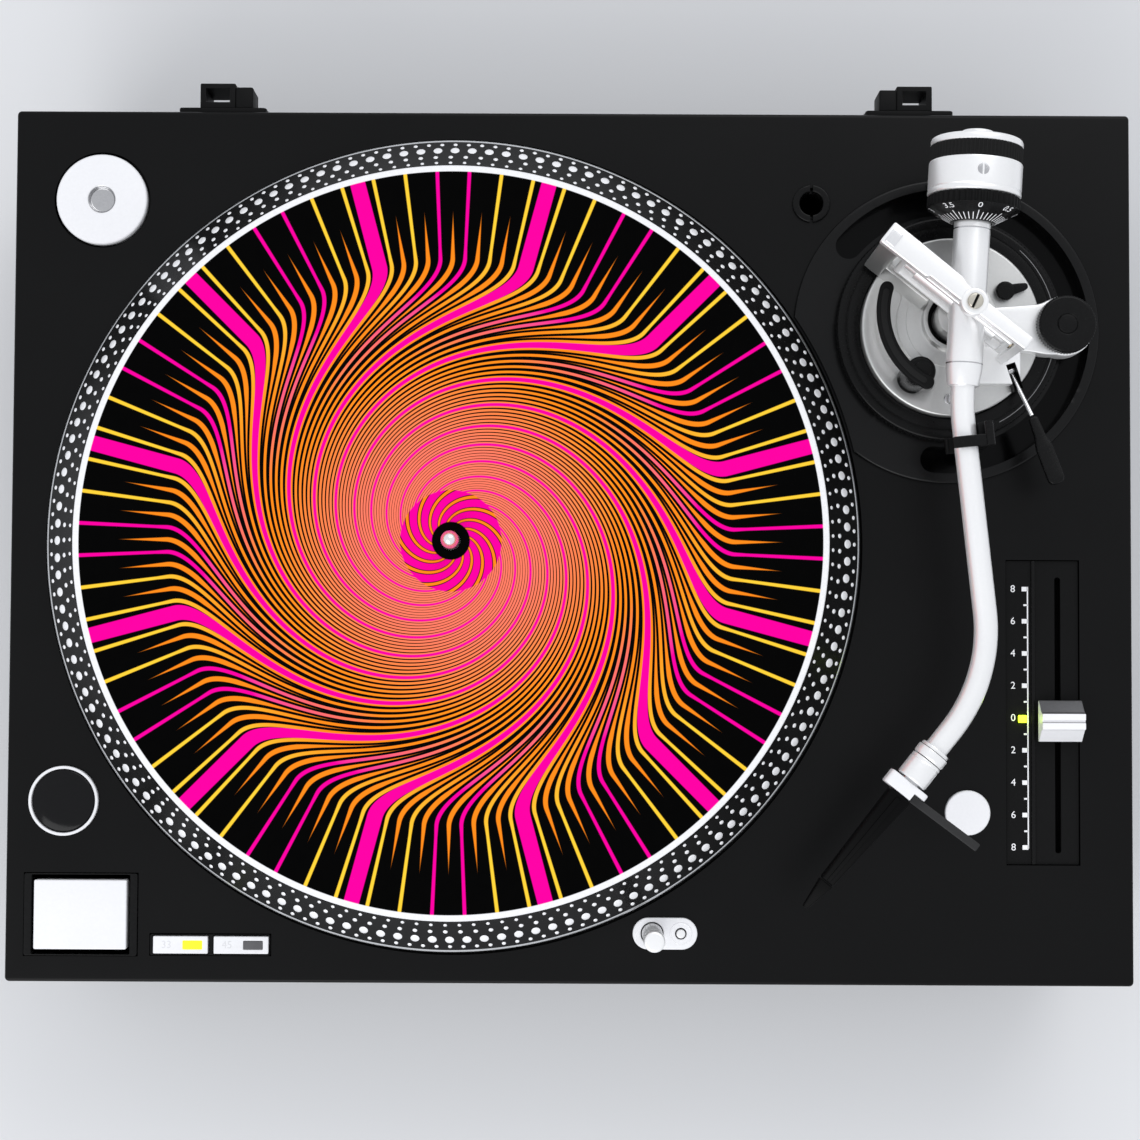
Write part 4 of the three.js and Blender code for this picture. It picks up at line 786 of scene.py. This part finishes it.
profile = fillet([(-8.25, 2.4), (8.25, 2.4), (8.25, 3.8), (3.5, 9.2), (3.2, 11, 0.5), (0.5, 11, 0.3),
                  (0.3, 10.3, 0.1), (-0.3, 10.3, 0.1), (-0.5, 11, 0.3), (-3.2, 11, 0.5), (-3.5, 9.2),
                  (-8.25, 3.8)], 0.5)
KNOB_FRAME = Matrix(((0, 0, 1, SLOT_X), (1, 0, 0, FADER_Y), (0, 1, 0, 0), (0, 0, 0, 1)))
cap = slab("fader_cap", profile, -8.65, 8.65, KNOB, edge=0.3, matrix=KNOB_FRAME)
# The rear slope gets the darker grey: painted shade.
tint(cap, KNOB_REAR_PAINTED_SHADE, lambda face: face.normal.y > 0.3)
stem = box("fader_stem", SLOT_X - 0.8, SLOT_X + 0.8, FADER_Y - 2.5, FADER_Y + 2.5, -10, 3, STEEL)
join("fader_handle", [cap, stem], "fader", "fader_knob")

holder = lathe("holder_ring",
               [(4.7, -14), (6.3, -14), (6.3, 0.3), (7.7, 0.3), (7.7, 1, 0.5), (7.2, 1.4, 0.4), (5.1, 1.4, 0.4),
                (4.7, 0.9)], SATIN_BLACK, HOLDER)
hx, hy = HOLDER
slots = [hole(hx - 0.6, hx + 0.6, hy + low, hy + high, -3, 3) for low, high in ((4, 9), (-9, -4))]
settle(combine(holder, slots), "chassis", "headshell_holder")

# ---- arm base
flange = combine(lathe("arm_base_well", [(30.6, 0.3), (61.9, 0.3), (61.9, 1.4, 0.4), (61.2, 2, 0.4), (30.6, 2)],
                       SATIN_BLACK, ARM_BASE, 256), [cutter(165.8, -2, 6, PLATTER, 360)])
well = combine(lathe("w", [(30.6, -9), (59.2, -9), (59.2, 0.5), (30.6, 0.5)], SATIN_BLACK, ARM_BASE, 256, soft=0),
               [cutter(168, -12, 6, PLATTER, 360)])
housing = combine(flange, [well], "UNION")
channel = slab("ch", arc_band(52.5, 5.3, -96, 139, ARM_BASE, 96), -6.5, 4, SATIN_BLACK)
housing = rounded(combine(housing, [channel]), 0.7, 3, 40)
housing.data.materials[0] = GLOSS_HOUSING
# Faces sunk below the plinth top get the darker black: painted shade.
tint(housing, SUNKEN_GLOSS_PAINTED_SHADE, lambda face: face.center.z / MM - LIFT.z < -0.9)
settle(housing, "chassis", "arm_base_housing", 28)

ring = lathe("height_ring_knurled",
             [(36.3, 2.3), (45.3, 2.3), (45.3, 7.6, 0.5), (44.4, 8.5, 0.5), (41.4, 8.5, 0.1), (41.4, 8.15, 0.1),
              (40.9, 8.15, 0.1), (40.9, 8.5, 0.1), (36.3, 8.5, 0.3)], SATIN_BLACK, ARM_BASE, soft=0.2,
             teeth=(150, 0.45, 44.8))
# Thin grey arc on the ring's top: a painted highlight.
painted_highlight_arc = slab("painted_highlight_arc", arc_band(42.6, 0.13, -62, 48, ARM_BASE, 64), 8.4, 8.54, GREY_PAINTED_HIGHLIGHT)
join("height_ring_highlighted", [ring, painted_highlight_arc], "height_dial", "height_ring")

RAISED = 19
plate = lathe("disc", [(0, -8), (30, -8), (30, 3), (35.8, 3), (35.8, 12.4, 0.5), (35.2, 13, 0.5), (0, 13)], GREY_SATIN_AND_PAINTED_SHADE,
              ARM_BASE, 192)
recess = slab("recess", arc_band(26.5, 4.6, 158, 244, PIVOT), 9, 20, BLACK)
seat = cutter(6.3, 9, 20, LIFTER_POST, 48)
away = Vector((CUE_ELBOW.x - CUE_HINGE.x, CUE_ELBOW.y - CUE_HINGE.y)).normalized()
SLOT_FRAME = standing(CUE_HINGE, math.degrees(math.atan2(away.y, away.x)))
LEVER_SLOT = (-2.6, 8.4, -1.9, 1.9, 11.5, 25)
plate = rounded(combine(plate, [recess, seat, hole(*LEVER_SLOT, SLOT_FRAME)]), 0.3, 2, 40)
block = slab("block", corners(158.5, 178.2, 63.8, 79.3, 2.2), 12.5, RAISED, SILVER, edge=0.6)
block = combine(block, [hole(*LEVER_SLOT, SLOT_FRAME)])
flare = slab("flare",
             fillet([(160, 94), (160, 78), (172, 77.5), (183, 76.6), (188, 75.6), (198, 75.6), (200, 80), (200, 95),
                     (196, 98.6), (190, 97.8), (186, 95.8), (176, 95)], 4, steps=6), 9.4, RAISED, SILVER, edge=0.8)
seat_disc = lathe("seat_disc", [(0, 9.3), (12, 9.3), (12, 18.3, 0.6), (11.4, 19, 0.6), (0, 19)], SILVER, ANTI_SKATE)
# The groove round the pillar gets near-black: painted shade.
hub = lathe("hub",
            [(0, 12.6), (18.5, 12.6), (18.5, 13.5, 0.3), (13.5, 13.8), (12.4, 14), (12.4, 19, 0.6),
             (10.6, 19, 0.3), (10.6, 14.5), (8.5, 14.5), (8.5, 30.7, 0.6), (0, 30.7)], [GREY_SATIN_AND_PAINTED_SHADE, MATTE_BLACK_AND_PAINTED_SHADE], PIVOT,
            band=lambda r, z: 1 if 8.55 < r < 10.65 and z < 18.6 else 0)
screws = [lathe("s", [(0, 13), (2, 13), (2, 13.5), (0, 13.8)], STEEL,
                   (ARM_BASE[0] + 29 * math.cos(math.radians(a)), ARM_BASE[1] + 29 * math.sin(math.radians(a))),
                   32) for a in (115, 268)]
# Thin black skin lining the lever slot: painted shade.
slot_shade_liner = combine(box("slot_shade_liner", -2.55, 8.35, -1.85, 1.85, 11.6, 18.6, BLACK, SLOT_FRAME),
                [hole(-2.35, 8.15, -1.65, 1.65, 11.9, 25, SLOT_FRAME)])
join("arm_base_silver", [plate, block, flare, seat_disc, hub, slot_shade_liner, *screws], "arm_lift_base",
     "arm_base_plate", 30)

knob = lathe("anti_skate_knob",
             [(0, 19.3), (11.5, 19.3), (11.5, 24.3, 0.6), (10.7, 25, 0.6), (4.2, 25, 0.3), (3.9, 24.7, 0.2),
              (3.6, 25.2, 0.2), (0, 25.3)], SATIN_BLACK, ANTI_SKATE, teeth=(60, 0.35, 11.2))
settle(knob, "anti_skate", "anti_skate_dial")

boss = lathe("boss", [(0, 13.3), (3.8, 13.3), (3.8, 16.4, 0.5), (3.3, 16.9, 0.4), (0, 16.9)], SATIN_BLACK, LOCK, 64)
blade = slab("blade", fillet([(0, -2.6), (7, -1.8), (9.2, -1.2), (9.2, 1), (7, 1.5), (0, 2.4)], 1.2), 14.1,
             16.5, SATIN_BLACK, edge=0.4, matrix=standing(LOCK, 14))
join("lock_lever_black", [boss, blade], "lock", "lock_lever")

# ---- gimbal, lifter and rest
beam = slab("beam",
            fillet([(-5, -42.2), (4.4, -42.2), (4.3, -33), (4.2, -20), (3, -19, 0.3), (3, -7), (2.8, 5),
                    (2.6, 26.1), (-3, 26.1), (-3, 5), (-3.6, -6), (-4.6, -9, 0.4), (-5, -30)], 0.8), 59.6, 64,
            SILVER, edge=0.7, matrix=FLAT_CROSS)
step_plate = slab("step", corners(-2.6, 3.2, -41, -36.5, 0.6), 63.5, 64.6, POLISHED, edge=0.3, matrix=FLAT_CROSS)
boss = lathe("boss", [(2.4, 59.6), (5.3, 59.6), (5.3, 64, 0.5), (4.7, 64.5, 0.5), (2.4, 64.5)], SILVER, PIVOT, 64)
# The left leg and the web take the greyer metal: painted shade.
left_leg = slab("left_leg", corners(-4.9, 4.3, -41.8, -33.6, 0.9), 13.3, 60.6, GREY_SATIN_AND_PAINTED_SHADE, edge=0.5, matrix=FLAT_CROSS)
right_leg = slab("right_leg", corners(-2.9, 2.5, 22.3, 25.9, 0.7), 19.3, 60.6, SILVER, edge=0.4, matrix=FLAT_CROSS)
web = slab("web", corners(1.4, 4.3, -34.5, -13, 0.6), 13.3, 33, GREY_SATIN_AND_PAINTED_SHADE, edge=0.4, matrix=FLAT_CROSS)
join("gimbal_silver", [beam, step_plate, boss, left_leg, right_leg, web], "arm_lift_base", "gimbal_bridge")
screw = lathe("screw_head",
              [(0, 59.2), (2, 59.6), (2, 64.7), (3, 64.7), (3, 65.9, 0.3), (2.5, 66.3, 0.3), (0, 66.3)],
              WARM_STEEL, PIVOT, 48)
screw = combine(screw, [hole(-4, 4, -0.55, 0.55, 65.1, 68, standing(PIVOT, 65))])
# Black strip on the floor of the screw's slot: painted shade.
slot_painted_shade = box("slot_painted_shade", -2.7, 2.7, -0.5, 0.5, 65, 65.2, BLACK, standing(PIVOT, 65))
join("bearing_screw_slotted", [screw, slot_painted_shade], "arm_lift_base", "bearing_screw")
settle(lathe("lifter_sleeve", [(2.3, 9.3), (5.8, 9.3), (5.8, 34.3, 0.5), (5.1, 35, 0.4), (2.3, 35)], SATIN_BLACK,
             LIFTER_POST, 64), "arm_lift_base", "lifter_cylinder")
bar = slab("bar", arc_band(31, 2.6, 163, 243, PIVOT), 37.3, 40.3, BLACK, edge=0.6)
strip = slab("strip", arc_band(31, 1.2, 166, 240, PIVOT), 40.2, 40.7, RUBBER, edge=0.2)
lug = post("lug", 3.2, 37.3, 39.3, LIFTER_POST, BLACK)
pin = post("pin", 2, 16, 37.8, LIFTER_POST, STEEL)
join("lifter_rail", [bar, strip, lug, pin], "lifter", "lifter_bar")

side = Vector((-away.y, away.x, 0)) * 1.5
axle = rod("axle", CUE_HINGE - side, CUE_HINGE + side, 1.6, STEEL)
wire = rod("wire", CUE_HINGE, CUE_ELBOW, 0.85, POLISHED)
join("cue_wire", [axle, wire], "cue_lever", "cue_lever_rod")
along = (CUE_END - CUE_ELBOW).normalized()
across = Vector((along.y, -along.x, 0)).normalized()
above = across.cross(along)
length = (CUE_END - CUE_ELBOW).length
m = axes(across, along, above, CUE_ELBOW)
paddle = slab("cue_paddle",
              fillet([(-1.7, 0.5), (1.7, 0.5), (2.2, 9), (3.3, 13), (3.3, length, 3), (-3.3, length, 3),
                      (-3.3, 13), (-2.2, 9)], 1, steps=6), -1.5, 1.5, SATIN_BLACK, edge=0.7, matrix=m)
settle(paddle, "cue_lever", "cue_lever_grip")

# Foot, column, floor, lip and hinge block of the rest; the last number is the width of the rounded edges.
REST_BARS = ((4.6, 10.9, 13.3, 16.6, -22, 3, 0.6), (5, 10.5, 14, 40.5, -3, 2, 0.6),
             (-6.6, 5.9, 38.5, 41.5, -3, 3, 0.5), (-6.6, -5.4, 40.5, 42, -3, 3, 0.3),
             (4.9, 10.8, 38.5, 51.8, -7, 2.2, 0.5))
rest = [box("bar", *extent, BLACK, REST_FRAME, edge) for *extent, edge in REST_BARS]
join("arm_rest_black", rest, "arm_lift_base", "arm_rest")
barrel_frame = REST_FRAME @ Matrix.Translation((8.4, 54.2, -6.9))
barrel = lathe("barrel", [(0, 0), (1.8, 0), (1.8, 9), (0, 9)], SATIN_BLACK, barrel_frame, 48)
band = slab("band", corners(-5.9, 8.4, -2.3, 2.1, 1), 53.1, 54.9, SATIN_BLACK, edge=0.4,
            matrix=REST_FRAME @ SWAP_YZ)
join("clip_band", [barrel, band], "clip", "arm_clip")

# ---- tonearm
LOW, HIGH = 34.5 - ARM_Z, 58.7 - ARM_Z
loop = box("loop", -3.5, 3.5, LOW, HIGH, -31.5, 21.2, SILVER, CROSS_FRAME, 0.7)
gap = box("gap", -6, 6, LOW + 2.6, HIGH - 2.6, -29.3, 19, SILVER, CROSS_FRAME)
loop = rounded(combine(loop, [gap]), 0.25, 2, 50)
neck = post("neck", 5, 31, 35.5, PIVOT, SILVER)
pivot_cap = lathe("cap", [(0, 20.9), (2.6, 20.9), (2.6, 21.9, 0.3), (0, 22.1)], BRASS, CROSS_FRAME, 32)
join("yoke_loop", [loop, neck, pivot_cap], "yoke", "yaw_yoke")

barrel = lathe("barrel",
               [(0, -30.5), (5.2, -30.5), (5.95, -30.3, 0.4), (7, -24, 1.5), (7, 46.5, 0.5), (4.6, 46.5),
                (4.6, 62.5), (0, 62.5)], SILVER, BACK_FRAME, 128)
cross = lathe("cross",
              [(0, -31), (1.2, -31), (1.2, -29), (2.9, -29, 0.3), (2.9, -24), (4.1, -24, 0.4), (4.1, 14.6, 0.4),
               (2.9, 14.6), (2.9, 18.6, 0.3), (1.2, 18.6), (1.2, 20.7), (0, 20.7)], SILVER, CROSS_FRAME, 64)
groove_rings = [lathe("g", [(6.9, z), (7.03, z), (7.03, z + 0.5), (6.9, z + 0.5)], STEEL, BACK_FRAME, soft=0)
                for z in (-22, 30)]
join("arm_barrel", [barrel, cross, *groove_rings], "tonearm", "arm_housing")


def bend(corner, before, after, radius, count):
    """Points round the corner where a line turns from one direction to another."""
    turn = before.angle(after)
    start = corner - before * radius * math.tan(turn / 2)
    sign = 1 if before.x * after.y - before.y * after.x > 0 else -1
    centre = start + Vector((-before.y, before.x)) * sign * radius
    out = []
    for k in range(count + 1):
        a = sign * turn * k / count
        p = start - centre
        out.append(centre + Vector((p.x * math.cos(a) - p.y * math.sin(a), p.x * math.sin(a) + p.y * math.cos(a))))
    return out


path = [Vector(PIVOT) + REAR * 24.6, *bend(FIRST_BEND, REAR, MID, 80, 12),
        *bend(SECOND_BEND, MID, HEAD, 62, 24), SECOND_BEND + HEAD * 36.2]
verts = []
TUBE_N = 64
for i, p in enumerate(path):
    a, b = path[max(i - 1, 0)], path[min(i + 1, len(path) - 1)]
    t = (b - a).normalized()
    s = Vector((-t.y, t.x))
    for k in range(TUBE_N):
        w = 2 * math.pi * k / TUBE_N
        verts.append((p.x + s.x * TUBE_R * math.cos(w), p.y + s.y * TUBE_R * math.cos(w),
                      ARM_Z + TUBE_R * math.sin(w)))
faces = strips(0, len(path), TUBE_N)
faces += [tuple(range(TUBE_N)), tuple(range((len(path) - 1) * TUBE_N, len(path) * TUBE_N))]
tube = mesh_object("tube", verts, faces, SILVER)
collar = lathe("collar",
               [(0, 34.6), (5.9, 34.6, 0.4), (5.9, 36.2), (6.45, 36.2, 0.3), (6.45, 39.2, 0.3), (6.1, 40),
                (0, 40)], SILVER, HEAD_FRAME)
seal = lathe("seal", [(5.7, 36), (6.15, 36), (6.15, 36.4), (5.7, 36.4)], RUBBER, HEAD_FRAME, soft=0.05)
join("arm_s_tube", [tube, collar, seal], "tonearm", "arm_tube", 40)
nut = lathe("nut_sleeve",
            [(4.1, 40.3), (6.3, 40.3, 0.4), (6.3, 41.4, 0.3), (6.15, 41.5, 0.1), (6.15, 41.9, 0.1),
             (6.3, 42, 0.3), (6.3, 49.4, 0.4), (5.9, 50, 0.3), (4.1, 50)], SILVER, HEAD_FRAME)
settle(nut, "nut", "headshell_nut")

plug = lathe("plug", [(0, 40.6), (3.8, 40.6), (3.8, 51.8), (0, 51.8)], STEEL, HEAD_FRAME, 64)
bar = slab("bar", rectangle(17, 9, 2), 50.8, 56.5, WHITE, edge=0.6, matrix=HEAD_FRAME)
notch = box("notch", 3.6, 9, -1.6, 6, 53.3, 58, WHITE, HEAD_FRAME)
join("pickup_flange", [plug, combine(bar, [notch])], "tonearm", "pickup_collar")
shell = taper("pickup_shell", (-4.7, 4.7, -4.4, 4.2, 56.8), (-2.9, 2.9, -11.2, -5, 100.2), MATTE_BLACK_AND_PAINTED_SHADE, HEAD_FRAME,
              0.9)
spine = taper("spine", (-1.1, 1.1, 4, 4.6, 58.5), (-0.8, 0.8, -5.2, -4.6, 99.6), MATTE_BLACK_AND_PAINTED_SHADE, HEAD_FRAME, 0.2)
join("pickup_shell_black", [shell, spine], "tonearm", "pickup_body")
tip = taper("tip", (-2.9, 2.9, -11.4, -5.3, 100.5), (-1.1, 1.1, -12, -9.6, 113.2), MATTE_BLACK_AND_PAINTED_SHADE, HEAD_FRAME, 0.5)
lever = taper("cantilever", (-0.4, 0.4, -12.2, -11.4, 103), (-0.2, 0.2, -14.2, -13.9, 110), POLISHED, HEAD_FRAME,
              0.1)
diamond = taper("diamond", (-0.22, 0.22, -14.4, -13.8, 109.5), (-0.22, 0.22, -14.4, -13.8, 110), GLOSS_BLACK,
                HEAD_FRAME, 0.05)
join("stylus_shell", [tip, lever, diamond], "tonearm", "stylus_unit")
LIFT_FRAME = HEAD_FRAME @ SWAP_YZ
lift = slab("finger_blade",
            fillet([(3.8, 53.6), (34.2, 52.6), (35.7, 52.6, 1.4), (35.7, 55.8, 1.4), (34.4, 55.8), (3.8, 56.8)],
                   0.8), -0.8, 0.7, GREY_PLASTIC, edge=0.3, matrix=LIFT_FRAME)
settle(lift, "tonearm", "finger_lift")

# ---- counterweight and force dial
weight = lathe("weight",
               [(7.35, 42.6), (17.4, 42.6, 0.3), (17.9, 43.1, 0.3), (17.9, 44.2, 0.2), (17.65, 44.5, 0.15),
                (17.65, 44.9, 0.15), (17.9, 45.2, 0.2), (17.9, 55.1, 0.4), (17.7, 55.6, 0.2), (16.8, 55.7, 0.1),
                (16.8, 61.8, 0.1), (17.7, 61.9, 0.2), (17.7, 63.9, 1.2), (17, 64.8, 0.8), (6.6, 64.8),
                (6.6, 67.8, 0.5), (6, 68.4, 0.4), (0, 68.4), (0, 65.9), (4.9, 65.9), (4.9, 48.5), (7.35, 48.5)],
               SILVER, BACK_FRAME, 192)
grip = lathe("grip", [(16.7, 55.8), (17.8, 55.8, 0.2), (17.8, 61.7, 0.2), (16.7, 61.7)], RUBBER, BACK_FRAME,
             soft=0.1, teeth=(72, 0.4, 17.5))
SCREW_FRAME = BACK_FRAME @ Matrix.Translation((0, 17.7, 50.2)) @ Matrix.Rotation(-math.pi / 2, 4, "X")
set_screw = combine(lathe("set", [(0, 0), (2.2, 0), (2.2, 0.35, 0.15), (0, 0.35)], STEEL, SCREW_FRAME, 48),
                    [hole(-0.35, 0.35, -3, 3, 0.15, 2, SCREW_FRAME)])
join("weight_silver", [weight, grip, set_screw], "weight", "counterweight")

CONE_FOOT, CONE_HEAD = (8.2, 32.6), (17.7, 37.8)
SLANT = math.atan2(CONE_HEAD[1] - CONE_FOOT[1], CONE_HEAD[0] - CONE_FOOT[0])
DIAL_TICKS = 40
DIAL_NUMBERS = ("0", "0.5", "1", "1.5", "2", "2.5", "3", "3.5")
cone = lathe("cone", [(7.35, 32.6), (*CONE_FOOT, 0.3), (*CONE_HEAD, 0.4), (17.7, 38), (17.2, 38), (7.35, 38)],
             SATIN_BLACK, BACK_FRAME, 192)
knurl = lathe("knurl", [(17, 38), (17.8, 38, 0.2), (17.8, 42.2, 0.2), (7.35, 42.2), (7.35, 37.9), (17, 37.9)],
              BLACK, BACK_FRAME, soft=0.1, teeth=(48, 0.45, 17.5))
marks = []


def on_cone(share):
    """Frame on the dial's cone, a share of a turn from its top: x runs out along the slope, y round it."""
    turn = Matrix.Rotation(math.pi / 2 + 2 * math.pi * share, 4, "Z")
    foot = Matrix.Translation((CONE_FOOT[0], 0, CONE_FOOT[1]))
    tilt = Matrix.Rotation(-SLANT, 4, "Y") @ Matrix.Rotation(math.pi, 4, "X")
    return BACK_FRAME @ turn @ foot @ tilt


for k in range(DIAL_TICKS):
    reach = 4.6 if k % 5 else 5.8
    marks.append(box("tick", 0.6, reach, -0.17, 0.17, -0.02, 0.05, INK_WHITE, on_cone(k / DIAL_TICKS)))
join("force_dial_marked", [cone, knurl, *marks], "dial", "force_dial")
for k, text in enumerate(DIAL_NUMBERS):
    label("dial_number_%d" % k, text, 3.9, INK_WHITE, "dial",
          on_cone(k / len(DIAL_NUMBERS)) @ Matrix.Translation((8.7, 0, 0.03)) @ Matrix.Rotation(-math.pi / 2, 4, "Z"))

# ---- inner pieces, which keep the part's own shapes
INSIDE = {"transformer": IRON, "main_board": BOARD, "terminal_panel": BLACK, "stator_board": BOARD,
          "stator_coils": COPPER, "bearing_housing": BRASS, "rotor_magnet": IRON, "fader_track": BLACK}
for node, look in INSIDE.items():
    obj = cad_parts[node]
    obj.data.materials.clear()
    obj.data.materials.append(look)

# ---- floor, light and camera
floor_mat, nt, bsdf, coords = new_material("floor")
tone = noise(nt, coords, 1.2, 2)
nt.links.new(mix(nt, tone, (0.685, 0.69, 0.703), (0.715, 0.72, 0.733)), bsdf.inputs["Base Color"])
bsdf.inputs["Roughness"].default_value = 0.75
bpy.ops.mesh.primitive_plane_add(size=36, location=(0, 0, 0))
floor = bpy.context.object
floor.name = "floor"
floor.data.materials.append(floor_mat)

world = bpy.data.worlds.new("studio")
bpy.context.scene.world = world
world.use_nodes = True
sky = world.node_tree.nodes["Background"].inputs
sky[0].default_value, sky[1].default_value = (0.90, 0.92, 0.96, 1), 0.86


def area(name, at, size, power, aim=(0, 0, 0.1)):
    data = bpy.data.lights.new(name, "AREA")
    data.shape, data.size, data.size_y, data.energy = "RECTANGLE", size[0], size[1], power
    lamp = link(bpy.data.objects.new(name, data))
    lamp.location = at
    lamp.rotation_euler = (Vector(aim) - Vector(at)).to_track_quat("-Z", "Y").to_euler()


area("key_light", (-0.7, -1.5, 1.5), (1.8, 1.2), 19)
area("fill_light", (0.6, 1.5, 1.6), (1.6, 1.2), 13)
glow = bpy.data.lights.new("pitch_glow_spread", "POINT")
glow.color, glow.energy, glow.shadow_soft_size = (0.7, 1, 0.05), 0.0008, 0.002
spread = link(bpy.data.objects.new("pitch_glow_spread", glow))
spread.location = (Vector((*PITCH_LAMP, 1.6)) + LIFT) * MM

cam_data = bpy.data.cameras.new("camera")
cam_data.lens, cam_data.sensor_width = CAMERA_LENS, 36
cam_data.clip_start, cam_data.clip_end = 0.05, 20
cam = link(bpy.data.objects.new("camera", cam_data))
cam.rotation_mode = "QUATERNION"
cam.location = CAMERA_AT
turn_x, turn_y, turn_z = (Matrix.Rotation(turn, 3, axis) for turn, axis in zip(CAMERA_TURN, "XYZ"))
cam.rotation_quaternion = (turn_x @ turn_y @ turn_z).to_quaternion()
bpy.context.scene.camera = cam
bpy.context.scene.view_settings.view_transform = "Standard"
